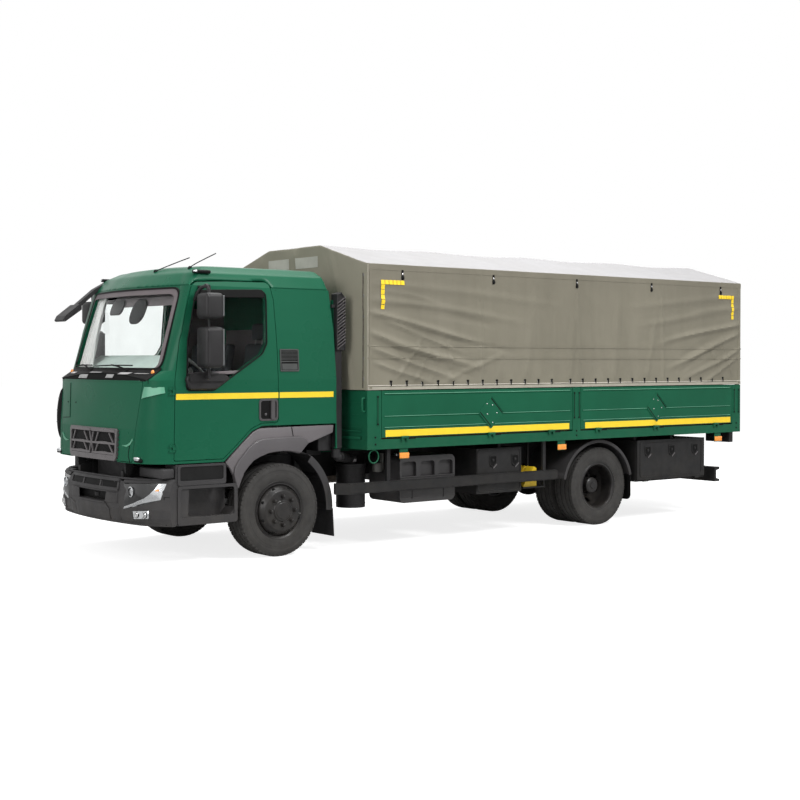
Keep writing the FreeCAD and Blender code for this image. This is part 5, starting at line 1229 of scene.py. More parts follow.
def make_lamps():
    """Headlamps with a lens, a bright strip and a side marker, and fog lamps under them."""
    for side, tail in ((1, "left"), (-1, "right")):
        def lamp(name, ring, thick, stand, edge, finish, step=40):
            piece = fine_plate(name + tail, [on_side(ring, side)], thick, ahead(bumper_y, stand), edge, step)
            return fit(piece, finish, "chassis")

        def lens(name, profile, x, z, stand, steps):
            place = (side * x, bumper_y(x, z) - stand, z)
            return turned(name, profile, place, "Y", steps, -1)

        lamp("lamp_housing_", [(566, 742), (1000, 766), (985, 622), (851, 590), (700, 540), (590, 524)],
             5, 1, 1, "gloss_black")
        lamp("lamp_strip_", [(584, 514), (640, 524), (760, 556), (851, 582), (990, 616), (1018, 764),
                             (968, 762), (936, 706), (896, 660), (850, 624), (740, 578), (650, 550),
                             (600, 536)], 7, 3, 2, "reflector")
        r = 44
        bowl = [(0, 0.3), (2, 18), (0, r * 0.7), (-6, r * 0.86), (-4, r), (6, r + 4), (8, r - 4)]
        fit(lens("lamp_lens_" + tail, bowl, 690, 676, 5, 36), "reflector", "chassis")
        lamp("lamp_cells_", [(950, 691), (976, 695), (972, 711), (948, 708)], 6, 6, 1.5, "orange_lens", 60)
        studs = []
        for i in range(9):
            x, z = share((628, 836), i / 8), share((536, 598), i / 8)
            studs.append(disc("stud", (side * x, bumper_y(x, z) - 7, z), 7, 4, "Y", 1, 12))
        fit(joined("lamp_studs_" + tail, studs), "bright_metal", "chassis")
        lamp("fog_bowl_", [(718, 428), (893, 440), (898, 514), (712, 500)], 6, 1, 1, "reflector")
        rounds = [lens("round", [(0, 0.3), (5, r * 0.5), (7, r * 0.8), (5, r), (-3, r + 1)], x, 470, 6, 28)
                  for x, r in ((764, 30), (848, 33))]
        fit(joined("fog_lens_" + tail, rounds), "bright_metal", "chassis")
        outer = [(700, 412), (906, 426), (912, 528), (696, 516)]
        inner = [(716, 427), (894, 439), (899, 515), (711, 501)]
        trim = fine_plate("fog_trim_" + tail, [on_side(outer, side), on_side(inner, side)], 12,
                          ahead(bumper_y, 3), 2, 40)
        fit(trim, "bumper_grey", "chassis")


def make_roof():
    """The roof's outer skin, rounded from its solid."""
    source = nodes["cab_roof"]
    roof = source.copy()
    roof.data = source.data.copy()
    bpy.context.scene.collection.objects.link(roof)
    roof.name = "roof_skin"
    for key in list(roof.keys()):
        del roof[key]
    roof.parent = None
    roof.matrix_world = source.matrix_world
    mend_normals(roof)
    use(roof, "REMESH", mode="VOXEL", voxel_size=0.014)
    use(roof, "SMOOTH", factor=0.5, iterations=14)
    fit(roof, "cab_paint", "cab", 60)
    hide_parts("cab_roof")


SIDE_LEVELS = ((940, 1050), (1700, 1050), (1790, 1044), (2170, 1020), (2575, 982), (2700, 925), (2765, 820))
WINDOW_RING = ((-1016, 1652), (-1010, 1622), (-990, 1608), (-730, 1608), (-706, 1620), (-205, 1932),
               (-180, 1956), (-138, 2030), (-130, 2056), (-117, 2450), (-122, 2510), (-164, 2548),
               (-200, 2550), (-840, 2528), (-876, 2512), (-892, 2480), (-990, 2066))


def side_x(z):
    return between(SIDE_LEVELS, z)[0]


def against_side(piece):
    """Moves a piece drawn about X 0 out to the cab's side, leaning as it leans."""
    for point in piece.data.vertices:
        point.co.x += side_x(point.co.z * 1000) / 1000
    return piece


def side_plate(name, rings, thick, edge, lift):
    """A plate drawn in Y and Z and laid on the left side of the cab."""
    return against_side(plate(name, rings, "x", lift, thick, edge))


def make_door_handles():
    """Framed pull handle with its lock and dark pocket, window seal and wind shield of the doors."""
    frame = side_plate("handle_frame", [rounded_ring(-232, -18, 1308, 1516, 34),
                                        rounded_ring(-214, -38, 1326, 1498, 24)], 14, 3, 2)
    pocket = side_plate("handle_pocket", [rounded_ring(-222, -28, 1318, 1506, 28)], 4, 0.5, 1)
    grip = side_plate("handle_grip", [rounded_ring(-104, -58, 1322, 1502, 20)], 22, 6, 9)
    lock = disc("handle_lock", (1056, -160, 1370), 13, 10, "X", 2, 24)
    fit_both(joined("handle_grip", [grip, frame, lock]), "handle_grey", "door_left")
    fit_both(pocket, "rubber", "door_left")
    seal = rod("window_seal", [(side_x(z) + 1.5, y, z) for y, z in WINDOW_RING], 8, 3, 2, True)
    shield = side_plate("wind_shield", [[(-900, 2462), (-140, 2478), (-128, 2530), (-170, 2556),
                                         (-850, 2532), (-884, 2510)]], 10, 4, 4)
    fit_both(joined("window_seal", [seal, shield]), "rubber", "door_left")
    stripe = side_plate("door_stripe", [rect(-1126, -12, 1523, 1577)], 1.2, 0, 0.7)
    fit_both(stripe, "yellow_tape", "door_left")
    sill = side_plate("window_sill", [[(-984, 1766), (-420, 1790), (-470, 1756), (-984, 1742)]], 10, 3, -26)
    fit_both(sill, "visor_grey", "door_left")


def make_mirrors():
    """The doors' two mirrors each, on a foot at the window's corner and an arm from the roof's edge."""
    foot = side_plate("mirror_foot", [[(-1032, 1700), (-1012, 1640), (-988, 1612), (-740, 1612),
                                       (-700, 1626), (-566, 1712), (-600, 1742), (-760, 1762),
                                       (-990, 1752), (-1030, 1730)]], 52, 16, 14)
    lid = turned("mirror_lid", [(0, 0.2), (0, 148), (8, 140), (18, 100), (22, 40), (22, 0.2)],
                 (1082, -830, 1756), "Z", 40)
    for point in lid.data.vertices:
        point.co.x = 1.082 + (point.co.x - 1.082) * 0.42
    post = rod("mirror_post", [(1100, -840, 1768), (1130, -842, 1776), (1168, -850, 1800),
                               (1175, -850, 1850)], 15, 3)
    fit_both(joined("mirror_foot", [foot, lid, post]), "black_plastic", "door_left")
    shells = []
    for z0, z1 in ((1814, 2188), (2262, 2496)):
        shell = block("mirror_shell", (1084, 1302), (-938, -762), (z0, z1), 40, 5)
        for point in shell.data.vertices:
            if point.co.y < at(0, -880, 0).y:
                across = (point.co.x * 1000 - 1191) / 107
                point.co.x = 1.191 + (point.co.x - 1.191) * 0.94
                point.co.y -= 0.012 * (1 - across * across)
        shells.append(shell)
        glass = block("mirror_glass", (1100, 1286), (-763, -759), (z0 + 22, z1 - 22), 1.5, 1)
        fit_both(glass, "mirror_glass", "door_left")
    fit_both(joined("mirror_shells", shells), "black_plastic", "door_left")
    arm = rod("mirror_arm", [(986, -896, 2440), (1040, -900, 2480), (1090, -892, 2545), (1150, -876, 2562),
                             (1180, -862, 2548), (1182, -858, 2490)], 17, 4)
    tip = disc("mirror_knob", (1160, -872, 2560), 22, 30, "Y", 6, 24)
    fit_both(joined("mirror_arm", [arm, tip]), "black_plastic", "door_left")


def make_cab_side():
    """Stripe, vent, corner trim and seam behind the doors."""
    stripe = side_plate("cab_stripe", [rect(4, 640, 1523, 1577)], 1.2, 0, 0.7)
    fit_both(stripe, "yellow_tape", "cab")
    seam = side_plate("door_line", [rect(-4, 3, 960, 2560)], 1.4, 0, -0.4)
    fit_both(seam, "rubber", "cab")

    slats = [side_plate("vent_frame", [rounded_ring(14, 232, 1776, 1992, 12),
                                       rounded_ring(26, 220, 1790, 1978, 6)], 10, 2, 3)]
    for z in range(1886, 1965, 13):
        slats.append(side_plate("vent_slat", [rect(26, 220, z, z + 5)], 8, 1, 2))
    slats.append(side_plate("vent_shelf", [rect(26, 220, 1866, 1876)], 16, 2, 5))
    slats.append(side_plate("vent_plate", [rounded_ring(34, 212, 1794, 1852, 5)], 9, 2, 3))
    fit_both(joined("vent_frame", slats), "vent_grey", "cab")
    back = side_plate("vent_back", [rounded_ring(20, 226, 1782, 1986, 8)], 2, 0, 0.8)
    fit_both(back, "rubber", "cab")

    trim = block("corner_trim", (1000, 1047), (676, 690), (1010, 2480), 5)
    for point in trim.data.vertices:
        point.co.x -= (1.05 - side_x(point.co.z * 1000) / 1000)
    fit_both(trim, "cab_paint", "cab")


def make_cab_lamps():
    """Roof and corner lamps, side markers and the two antennas."""
    for name, x, y, z, edge, steps, finish in (
            ("side_lamp", (905, 960), (-880, -700), (2690, 2722), 12, 3, "rubber"),
            ("side_lamp_eye", (930, 962), (-882, -846), (2698, 2718), 8, 3, "reflector"),
            ("corner_lamp", (780, 862), (-1420, -1384), (966, 1004), 14, 4, "reflector"),
            ("corner_holder", (770, 880), (-1408, -1370), (952, 984), 10, 3, "rubber")):
        fit_both(block(name, x, y, z, edge, steps), finish, "cab")
    marker = turned("front_marker", [(0, 0.2), (0, 24), (10, 22), (18, 12), (20, 0.2)], (845, -1248, 1770),
                    "Y", 24, -1)
    fit_both(marker, "orange_lens", "cab")
    lines = (((250, -897, 2742), (300, -860, 2765), (480, -760, 2830), (560, -700, 2862)),
             ((712, -786, 2756), (735, -776, 2775), (880, -700, 2842), (960, -650, 2880)))
    for number, line in enumerate(lines):
        x, y, z = line[0]
        foot = turned("antenna_foot", [(0, 0.2), (0, 22), (14, 18), (24, 9), (26, 0.2)], (x, y, z - 10),
                      "Z", 20)
        mast = rod("antenna_mast", line, 5, 2)
        fit(joined("antenna_%d" % (number + 1), [foot, mast]), "rubber", "cab")


def make_steps():
    """Step treads, their frames, dark wells and bolts, and the filler beside the bumper."""
    pieces = []
    for x1, y1, z in ((1056, -618, 776), (1058, -562, 440)):
        y0 = -1085
        pieces.append(block("tread", (930, x1), (y0, y1), (z - 24, z), 8, 3))
        for i in range(8):
            y = y0 + 30 + (y1 - y0 - 60) * (i + 0.5) / 8
            pieces.append(block("tread_tooth", (x1 - 96, x1 - 12), (y - 18, y + 18), (z - 2, z + 7), 3, 1))
    for rings in ((rounded_ring(-1112, -600, 738, 930, 26), rounded_ring(-1086, -628, 782, 908, 16)),
                  (rounded_ring(-1112, -474, 374, 734, 30), rounded_ring(-1082, -510, 446, 706, 24))):
        pieces.append(side_plate("step_lip", rings, 12, 4, 4))
    fit_both(joined("step_treads", pieces), "bumper_grey", "chassis")
    dark = side_plate("step_well", [rounded_ring(-1090, -624, 780, 910, 12)], 2, 0, 1)
    fit_both(dark, "step_dark", "chassis")
    filler = block("front_filler", (600, 1036), (-1262, -1132), (806, 898), 14, 3)
    fit(filler, "bumper_grey", "chassis")
    bolts = [turned("bolt", [(0, 0.2), (0, 9), (4, 9), (6, 6), (6.5, 0.2)], (1052, y, 722), "X", 12)
             for y in (-980, -700)]
    fit_both(joined("step_bolts", bolts), "dull_metal", "chassis")


def make_curtain():
    """Pleated curtain drawn back beside the windscreen's right edge."""
    def place(a, b):
        z = share((2510, 1815), b)
        wave = math.sin(a * 11 * math.pi + 0.8 * math.sin(b * 4)) * share((18, 26), b)
        x = share((-856, -884), b) + a * share((300, 380), b)
        return x, front_y(x, z) + 52 + wave, z
    cloth = sheet_of("curtain", 90, 24, place)
    use(cloth, "SOLIDIFY", thickness=0.0015, offset=0.0)
    fit(cloth, "curtain", "cab")
    rail_z = 2512
    rail = rod("curtain_rail", [(x, front_y(x, rail_z) + 62, rail_z) for x in (-820, 0, 820)], 7, 2)
    fit(rail, "dull_metal", "cab")


BODY_X = 1275
BOARDS = {
    # name: ends in Y, ends of the stripe, hinges, middle of the placard holder in Y and Z
    "dropside_front": ((1071, 3758), (1117, 3712), (1354, 2535, 3424), (2536, 1335)),
    "dropside_rear": ((3900, 6569), (3966, 6539), (4168, 5150, 6249), (5170, 1337)),
}
STRIPE_Z = (1122, 1189)
LIP_Z = (1214, 1325, 1549)


def make_board_trim():
    """Stripes, placard holders, lips and hinge lugs of the dropsides."""
    for board, ((y0, y1), stripe_y, hinges, (middle_y, middle_z)) in BOARDS.items():
        left = board + "_left"
        stripe = plate(board + "_stripe", [rect(*stripe_y, *STRIPE_Z)], "x", BODY_X + 0.9, 1.2, 0)
        fit_both(stripe, "yellow_tape", left)
        # The lips are drawn in the lighter green: painted highlights on the boards' steps.
        low, mid, high = LIP_Z
        lips = [plate("lip", [rect(y0 + 34, y1 - 34, high, high + 7)], "x", BODY_X + 1.5, 5, 1.5),
                plate("lip", [rect(y0 + 34, y1 - 34, low, low + 5)], "x", BODY_X + 2, 3, 0.5),
                plate("lip", [rect(y0 + 34, y1 - 34, mid, mid + 5)], "x", BODY_X + 2, 3, 0.5)]
        fit_both(joined(board + "_lips", lips), "painted_highlight_green", left)

        def around(shape, sign=1):
            return [[(middle_y + sign * dy, middle_z + sign * dz) for dy, dz in shape]]
        diamond = [(-178, 0), (-8, -168), (8, -168), (178, 0), (8, 168), (-8, 168)]
        fold = [(12, 172), (182, 6), (170, 2), (8, 160)]
        slit = [(4, 152), (162, -4), (156, -10), (-2, 144)]
        holder = [plate("holder", around(diamond), "x", BODY_X + 2.5, 3, 1)]
        holder += [plate("fold", around(fold, sign), "x", BODY_X + 8, 3, 1) for sign in (1, -1)]
        fit_both(joined(board + "_holder", holder), "body_paint", left)
        slits = [plate("slot", around(slit, sign), "x", BODY_X + 4.4, 2, 0) for sign in (1, -1)]
        fit_both(joined(board + "_holder_slots", slits), "rubber", left)
        rivets = [turned("rivet", [(0, 0.2), (0, 7), (3, 5), (4, 0.2)],
                         (BODY_X + 4, middle_y + dy, middle_z + dz), "X", 10)
                  for dy, dz in ((-58, 92), (20, 78), (-52, -18), (84, -8), (24, -108))]
        fit_both(joined(board + "_rivets", rivets), "bright_metal", left)

        lugs = []
        gaps = []
        for y in hinges:
            lugs.append(rod("lug", [(1289, y - 46, 1111), (1289, y + 46, 1111)], 12, 4, 2))
            lugs.append(block("lug", (1276, 1296), (y - 44, y - 18), (1076, 1110), 5))
            lugs.append(block("lug", (1276, 1296), (y + 18, y + 44), (1076, 1110), 5))
            gaps.append(block("gap", (1276, 1277.5), (y + 58, y + 150), (1092, 1108), 0.5, 1))
        fit_both(joined(board + "_lugs", lugs), "body_paint", "chassis")
        fit_both(joined(board + "_gaps", gaps), "rubber", "chassis")


def make_post_trim():
    """Latches in the posts, screws, the handle and lashing ring at the front corner, and side markers."""
    plates = []
    slits = []
    for y in (1018, 3791, 3867, 6611, 6699):
        plates.append(plate("latch", [rounded_ring(y - 13, y + 13, 1232, 1540, 12)], "x", BODY_X + 2, 4, 1.5))
        slit = rounded_ring(y - 4, y + 4, 1250, 1522, 4)
        slits.append(plate("latch_slot", [slit], "x", BODY_X + 4.6, 2, 0))
        for z in (1250, 1522):
            slits.append(disc("latch_end", (BODY_X + 6, y, z), 10, 6, "X", 1, 16))
    fit_both(joined("post_latches", plates), "body_paint", "chassis")
    fit_both(joined("post_slots", slits), "rubber", "chassis")
    screws = [turned("screw", [(0, 0.2), (0, 10), (4, 10), (6, 7), (7, 0.2)], (BODY_X, y, z), "X", 6)
              for y, z in ((990, 1120), (990, 1052), (3829, 1100), (3829, 1050), (6655, 1110), (6655, 1052))]
    fit_both(joined("post_screws", screws), "rubber", "chassis")
    handle = rod("corner_handle", [(1244, 886, 1512), (1244, 852, 1512), (1244, 846, 1490), (1244, 846, 1400),
                                   (1244, 852, 1378), (1244, 886, 1378)], 9, 3)
    fit_both(handle, "body_paint", "chassis")
    bars = [block("head_bar", (-1180, 1180), (874, 886), z, 4) for z in ((1173, 1187), (1097, 1127))]
    fit(joined("head_bars", bars), "body_paint", "chassis")
    eye = rod("lashing_ring", [(1252, 986 + 62 * math.cos(math.tau * i / 12),
                                930 + 66 * math.sin(math.tau * i / 12)) for i in range(12)], 7, 3, 3, True)
    fit_both(eye, "body_paint", "chassis")
    markers = ((1302, 1424), (3539, 3671), (6248, 6382))
    holders = [block("bracket", (1250, 1262), (y0 + 8, y1 - 8), (890, 1004), 3) for y0, y1 in markers]
    fit_both(joined("marker_brackets", holders), "body_paint", "chassis")
    lenses = [block("marker", (1262, 1276), y, (898, 956), 6, 3) for y in markers]
    fit_both(joined("markers", lenses), "orange_lens", "chassis")


def make_box_front(name, body, x, ys, z, dish, outer, inner, rim_x, thick):
    """A toolbox's front: its rolled rim and drop latches, each in a dish with its rim, knob and a pale stroke
    that is a painted highlight on its lower edge.
    """
    parts = []
    dishes = []
    flaps = []
    for y in ys:
        rims = ([(-54, 62), (54, 62), (54, -26), (0, -70), (-54, -26)],
                [(-44, 52), (44, 52), (44, -21), (0, -57), (-44, -21)])
        parts.append(plate("latch", [[(y + dy, z + dz) for dy, dz in rim] for rim in rims], "x", x + 3, 8, 2))
        parts.append(turned("latch", [(0, 0.2), (0, 17), (9, 15), (12, 8), (12.5, 0.2)], (x + 1, y, z + 12),
                            "X", 16))
        # Each plate named flap is a pale grey stroke along the lower right edge of its latch's rim: a painted
        # highlight.
        flap = [(y - 2, z - 68), (y + 52, z - 26), (y + 52, z - 38), (y + 2, z - 78)]
        flaps.append(plate("flap", [flap], "x", x + 8, 8, 2))
        dishes.append(plate("dish", [rounded_ring(y - 46, y + 46, *dish, 12)], "x", x + 1, 2, 0))
    parts.append(plate("rim", [rounded_ring(*outer), rounded_ring(*inner)], "x", rim_x, thick, 3))
    fit(joined(name + "_latches", parts), "chassis_black", body)
    fit(joined(name + "_dishes", dishes), "rubber", body)
    fit(joined(name + "_latch_highlights", flaps), "grille_grey", body)


def make_tank_and_filter():
    """Bands and clamp of the air filter, seams and cap of the tank, and the small canister."""
    filter_x, filter_y = 700, 1112
    bands = [turned("filter_band", [(-5, r - 6), (-5, r), (5, r), (5, r - 6), (-5, r - 6)],
                    (filter_x, filter_y, z), "Z", 48)
             for z, r in ((812, 163), (790, 156), (700, 153), (640, 153), (420, 153))]
    fit(joined("filter_bands", bands), "black_plastic", "chassis")
    clamp = turned("filter_clamp", [(-12, 58), (-12, 63), (12, 63), (12, 58), (-12, 58)],
                   (filter_x, filter_y, 858), "Z", 40)
    fit(clamp, "pale_grey_and_painted_glint", "chassis")
    seam = [rounded_ring(636, 1155, 425, 680, 60), rounded_ring(642, 1149, 431, 674, 54)]
    seams = [plate("seam", seam, "y", y, 6, 1) for y in (1560, 1980)]
    fit(joined("tank_seams", seams), "rubber", "chassis")
    cap = turned("tank_cap", [(0, 0.2), (0, 52), (22, 50), (28, 42), (30, 0.2)], (1010, 1490, 905), "Z", 32)
    fit(cap, "gloss_black", "chassis")
    can = turned("canister", [(0, 0.2), (0, 44), (6, 50), (80, 50), (90, 44), (92, 0.2)], (900, 1306, 741),
                 "Z", 32)
    stay = block("canister_stay", (880, 920), (1352, 1372), (760, 930), 3)
    fit(joined("canister", [can, stay]), "engine_grey", "chassis")


def make_stack_fins():
    """Slanted fins on the air stack behind the cab."""
    fins = []
    for i in range(15):
        z = 1994 + 32 * i
        ring = [(690, z), (790, z + 66), (790, z + 73), (690, z + 7)]
        fins.append(plate("fin", [ring], "x", 1047, 16, 1.5))
    fit(joined("stack_fins", fins), "grille_grey", "cab")
    rim = plate("stack_rim", [[(684, 1984), (788, 1984), (788, 2500), (738, 2556), (684, 2538)],
                              [(694, 1996), (778, 1996), (778, 2494), (734, 2540), (694, 2526)]],
                "x", 1048, 10, 3)
    fit(rim, "black_plastic", "cab")


def arc(centre, wide, high, start, end, steps=24):
    """Places in Y and Z on a stretched circle, from one angle to another in degrees."""
    line = []
    for i in range(steps + 1):
        angle = math.radians(share((start, end), i / steps))
        line.append((centre[0] + wide * math.cos(angle), centre[1] + high * math.sin(angle)))
    return line


def strip_round(line, centre, depth):
    """The outline of a strip: a line and the same line moved in towards a centre."""
    inner = []
    for y, z in line:
        part = 1 - depth / math.hypot(y - centre[0], z - centre[1])
        inner.append((centre[0] + (y - centre[0]) * part, centre[1] + (z - centre[1]) * part))
    return line + inner[::-1]


def make_front_guards():
    """Front arches with their raised tier and dark liner, and the curved guard and flap behind the wheel."""
    outline = [(-472, 640), (-486, 720), (-505, 800), (-545, 868), (-598, 929), (-522, 1003), (-440, 1078),
               (-368, 1142), (-296, 1204), (-240, 1230), (-184, 1240), (231, 1244), (651, 1247), (640, 1170),
               (350, 1074), (243, 978), (156, 1000), (68, 1010), (-30, 1006), (-127, 995), (-214, 968),
               (-296, 930), (-352, 878), (-400, 820), (-436, 748), (-462, 671)]
    raised = [(-478, 692), (-500, 760), (-514, 820), (-500, 880), (-466, 936), (-360, 1050), (-300, 1098),
              (-251, 1122), (-190, 1136), (-120, 1140), (240, 1146), (300, 1122), (336, 1086), (246, 988),
              (150, 1004), (68, 1014), (-30, 1010), (-127, 999), (-214, 972), (-298, 934), (-354, 882),
              (-404, 824), (-438, 750), (-464, 680)]
    skin = plate("arch_skin", [outline], "x", 1022, 44, 12, 4)
    tier = plate("arch_tier", [raised], "x", 1044, 46, 17, 5)
    joint = plate("arch_joint", [[(160, 1150), (168, 1150), (150, 1240), (142, 1240)]], "x", 1045, 3, 0)
    fit_both(joint, "rubber", "chassis")
    pieces = fit_both(skin, "arch_grey", "chassis", 50)
    # The tier takes the darker grey: painted shade of its curved-under face.
    pieces += fit_both(tier, "arch_grey_shaded", "chassis", 50)
    middle = (0, TYRE_R)
    over = [(-470, 668), (-446, 748), (-408, 826), (-358, 888), (-300, 942), (-216, 982), (-127, 1008),
            (68, 1024), (180, 1010), (262, 988), (346, 962)]
    liner = plate("arch_liner", [strip_round(over, middle, -12)], "x", 850, 304, 3)
    shell = plate("arch_liner", [strip_round(arc(middle, 632, 632, 56, -4), middle, 10)], "x", 850, 380, 3)
    flap = plate("arch_liner", [[(628, 424), (641, 424), (657, 146), (644, 146)]], "x", 858, 376, 4)
    stay = block("arch_liner", (430, 1000), (524, 566), (704, 752), 4)
    dark = joined("arch_liner", [liner, shell, flap, stay])
    pieces += fit_both(dark, "black_plastic", "chassis")
    band = plate("arch_band", [strip_round(arc(middle, 633, 633, 53, -3.5), middle, 74)], "x", 1041, 14, 5, 3)
    pieces += fit_both(band, "bumper_grey", "chassis", 50)
    for piece in pieces:
        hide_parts("front_mudguards")


def make_rear_guards():
    """Round guards over the twin wheels, each with a rolled lip, two stays and a flap."""
    middle = (4277, TYRE_R)
    line = arc(middle, 572, 533, 168, 12, 32)
    parts = [plate("rear_guard", [strip_round(line, middle, 10)], "x", 860, 640, 3),
             plate("rear_guard", [strip_round(line, middle, 36)], "x", 1181, 16, 6, 3)]
    for y, z in ((3880, 842), (4690, 830)):
        parts.append(rod("rear_guard", [(430, y, z), (1150, y, z)], 18, 3, 2, False, 1))
    flap = plate("rear_flap", [rounded_ring(560, 1172, 262, 604, 60)], "y", 4836, 12, 3)
    guards = fit_both(joined("rear_guard", parts), "bumper_grey", "chassis")
    flaps = fit_both(flap, "rubber", "chassis")
    for piece in guards + flaps:
        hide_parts("rear_mudguards")


def make_rear():
    """Rear lamps with their lenses, and the tailboard's stripe and lips."""
    shells = block("rear_lamp", (816, 1184), (6638, 6714), (866, 1004), 10, 3)
    fit_both(shells, "black_plastic", "chassis")
    for name, x, finish in (("red", (828, 1012), "red_lens"), ("amber", (1018, 1098), "orange_lens"),
                            ("clear", (1104, 1172), "reflector")):
        lens = block("rear_lens_" + name, x, (6708, 6724), (880, 990), 7, 3)
        fit_both(lens, finish, "chassis")
    stripe = plate("tailboard_stripe", [rect(-1150, 1150, *STRIPE_Z)], "y", 6735, 1.2, 0)
    fit(stripe, "yellow_tape", "tailboard")
    # The tailboard's lips are drawn in the lighter green: painted highlights on its steps.
    lips = [plate("lip", [rect(-1160, 1160, z, z + 5)], "y", 6736, 3, 0.5) for z in LIP_Z]
    fit(joined("tailboard_lips", lips), "painted_highlight_green", "tailboard")


def make_under_trim():
    """Dark tray under the chocks, box behind the arch and lower half of the tank."""
    back = (3424, 3446)
    for name, finish, slot, blocks in (
            ("chock_tray", "chassis_black", "chassis_black",
             (((889, 911), back, (485, 998), 2), ((1139, 1161), back, (485, 998), 2),
              ((879, 1171), (3109, 3446), (485, 501), 2))),
            ("intake_case", "black_plastic", "black_plastic",
             (((700, 960), (520, 740), (985, 1215), 14, 3), ((560, 700), (560, 740), (930, 1180), 10))),
            ("tank_belly", "tank_grey", None,
             (((1060, 1153), (1404, 2136), (476, 700), 16, 3), ((1060, 1157), (1402, 2138), (684, 700), 5)))):
        fit(joined(name, [block(name, *sizes) for sizes in blocks]), finish, "chassis")


def make_cab_lining():
    """Lining on the inner faces of the cab's back, sides and roof."""
    walls = surface_of("cab_back")
    back = (walls.ray_cast(at(300, 300, 2000), Vector((0, 1, 0)))[0].y - AXLE_Y) * 1000
    lining = [(-950, 1320), (950, 1320), (930, 1750), (880, 2480), (-880, 2480), (-930, 1750)]
    fit(plate("cab_lining", [lining], "y", back - 5, 6, 2), "visor_grey", "cab")
    side = walls.ray_cast(at(0, 300, 2000), Vector((1, 0, 0)))[0].x * 1000
    panel = side_plate("side_lining", [rect(30, back - 12, 1320, 2440)], 5, 1, side - side_x(2000) - 5)
    fit_both(panel, "visor_grey", "cab")
    ceiling = surface_of("cab_roof").ray_cast(at(0, 0, 2000), Vector((0, 0, 1)))[0].z * 1000
    head = plate("roof_lining", [rounded_ring(-700, 700, -820, back - 20, 60)], "z", ceiling - 8, 8, 2)
    fit(head, "visor_grey", "cab")


def make_wheel_trim(name, x, y, face, nose, body, rear):
    """Capped nuts, valve, rim bead and hub cover of a wheel."""
    hub = (x + face, y, TYRE_R)
    cap = turned("cap", [(0, 0.2), (0, 20), (4, 20.5), (22, 17), (34, 15), (39, 10), (40, 0.2)],
                 (x + face + (0 if rear else 26), y, TYRE_R + 137.5), "X", 16)
    parts = [turn_about(copied(cap, "cap"), hub, "X", 45 * i) for i in range(8)]
    bpy.data.objects.remove(cap)
    if rear:
        cover = [(0, 150), (10, 150), (14, 112), (40, 100), (nose - 30, 84), (nose - 12, 80), (nose, 66),
                 (nose + 2, 40), (nose + 8, 36), (nose + 9, 0.2)]
    else:
        cover = [(-42, 238), (-20, 233), (-2, 217), (12, 204), (21, 196), (25, 191), (26, 184), (26, 106),
                 (31, 103), (35, 98), (36, 92), (36, 0.2)]
    parts.append(turned("hub_cover", cover, hub, "X", 64))
    flange = [(92, 236), (104, 240), (118, 244), (124, 250), (122, 258), (129, 272), (131, 277), (128, 281),
              (122, 280)]
    parts.append(turned("flange", flange, (TWIN_X[1] if rear else x, y, TYRE_R), "X", 96))
    if rear:
        parts.append(turned("ridge", [(0, 160), (5, 163), (6, 170), (0, 174)], hub, "X", 72))
    fit_both(joined("wheel_trim_" + name, parts), "wheel_black", body)
    if not rear:
        hole = disc("hole", (x + face - 10, y, TYRE_R + 220), 15, 20, "X", 2, 20)
        holes = [turn_about(copied(hole, "hole"), hub, "X", 22.5 + 45 * i) for i in range(8)]
        bpy.data.objects.remove(hole)
        fit_both(joined("wheel_holes", holes), "rubber", body)
        drum = turned("brake_drum", [(0, 0.2), (0, 214), (-60, 222), (-64, 0.2)], (x + 128, y, TYRE_R))
        fit_both(drum, "rubber", body)
    valve = rod("wheel_valve_" + name, [(x + face + 4, y + 178, TYRE_R - 30),
                                        (x + face + 26, y + 184, TYRE_R - 34),
                                        (x + face + 40, y + 196, TYRE_R - 38)], 5, 2)
    fit_both(valve, "dull_metal", body)


def puffed(pad):
    """Fills a pad with air as cloth, no point of it moving more than the stuffing gives."""
    most = 0.012
    pick(pad)
    cloth = pad.modifiers.new("cloth", "CLOTH")
    cloth.settings.use_pressure = True
    cloth.settings.uniform_pressure_force = 3.0
    cloth.settings.effector_weights.gravity = 0
    cloth.settings.quality = 4
    rest = [point.co.copy() for point in pad.data.vertices]
    scene = bpy.context.scene
    for step in range(1, 16):
        scene.frame_set(step)
    bpy.ops.object.modifier_apply(modifier=cloth.name)
    scene.frame_set(1)
    for point, start in zip(pad.data.vertices, rest):
        move = point.co - start
        if move.length > most:
            point.co = start + move.normalized() * most


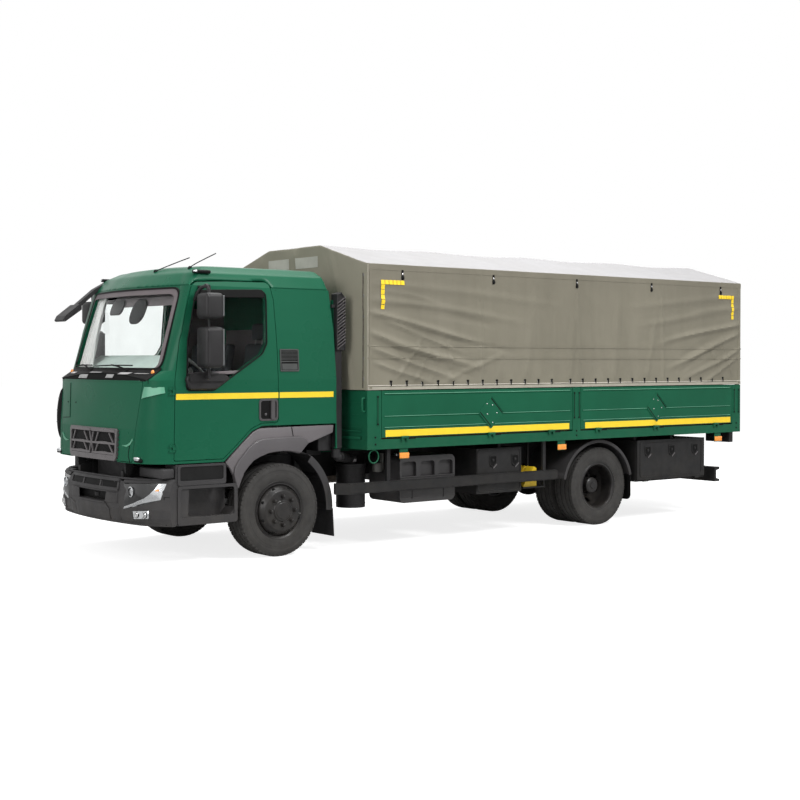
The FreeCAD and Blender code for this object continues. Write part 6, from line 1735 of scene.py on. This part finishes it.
def make_seats():
    """Cushions and backs of the driver's seat and the bench, padded."""
    for name, x, width in (("driver", 480, 500), ("bench", -440, 780)):
        half = width / 2
        for part, ys, zs in (("cushion", (-420, 50), (1446, 1536)), ("back", (40, 130), (1530, 2060))):
            pad = block(name + "_" + part, (x - half, x + half), ys, zs, 24, 3)
            if part == "back":
                for point in pad.data.vertices:
                    point.co.y += (point.co.z - 1.53) * math.tan(math.radians(9))
            use(pad, "REMESH", mode="VOXEL", voxel_size=0.02)
            puffed(pad)
            use(pad, "SMOOTH", factor=0.5, iterations=2)
            fit(pad, "seat_fabric", "cab", 80)
            if part == "cushion":
                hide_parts("seats")
        base = block(name + "_base", (x - half * 0.8, x + half * 0.8), (-380, 30), (1262, 1438), 14, 3)
        fit(base, "black_plastic", "cab")


def make_driver_extras(x):
    """Headrest on its two stays, and the belt, of the driver's seat."""
    headrest = block("driver_headrest", (x - 140, x + 140), (128, 196), (2082, 2250), 26, 4)
    use(headrest, "REMESH", mode="VOXEL", voxel_size=0.02)
    fit(headrest, "seat_fabric", "cab", 80)
    stays = [rod("stay", [(x + dx, 130, 2040), (x + dx, 150, 2120)], 6, 2, 2) for dx in (-60, 60)]
    fit(joined("driver_stays", stays), "dull_metal", "cab")
    belt = rod("driver_belt", [(x + 280, -60, 1400), (x + 300, 100, 1700), (x + 330, 200, 2100)], 10, 1)
    fit(belt, "belt_red", "cab")


make_finishes()
finish_solids()
make_studio()
lay_cover()
make_tyres()
make_grille()
make_flap_trim()
make_corners()
make_cowl()
make_wipers()
make_screen_surround()
make_bumper_trim()
make_lamps()
make_roof()
make_door_handles()
make_mirrors()
make_cab_side()
make_cab_lamps()
make_steps()
make_curtain()
make_board_trim()
make_post_trim()
make_box_front("toolbox_mid", "chassis", 1180, (2652, 2974), 806, (744, 856),
               (2426, 3063, 480, 938, 52), (2440, 3049, 494, 924, 42), 1183, 7)
make_box_front("toolbox_lid", "toolbox_lid", 1215, (5085, 5510, 5935), 815, (759, 871),
               (4950, 6070, 510, 930, 34), (4964, 6056, 524, 916, 26), 1218, 6)
make_tank_and_filter()
make_stack_fins()
make_front_guards()
make_rear_guards()
make_rear()
make_under_trim()
make_cab_lining()
make_wheel_trim("front", WHEEL_X, 0, 160, 42, "wheel_front_left", False)
make_wheel_trim("rear", 855, WHEELBASE, 15, 190, "wheels_rear_left", True)
make_seats()
make_driver_extras(480)
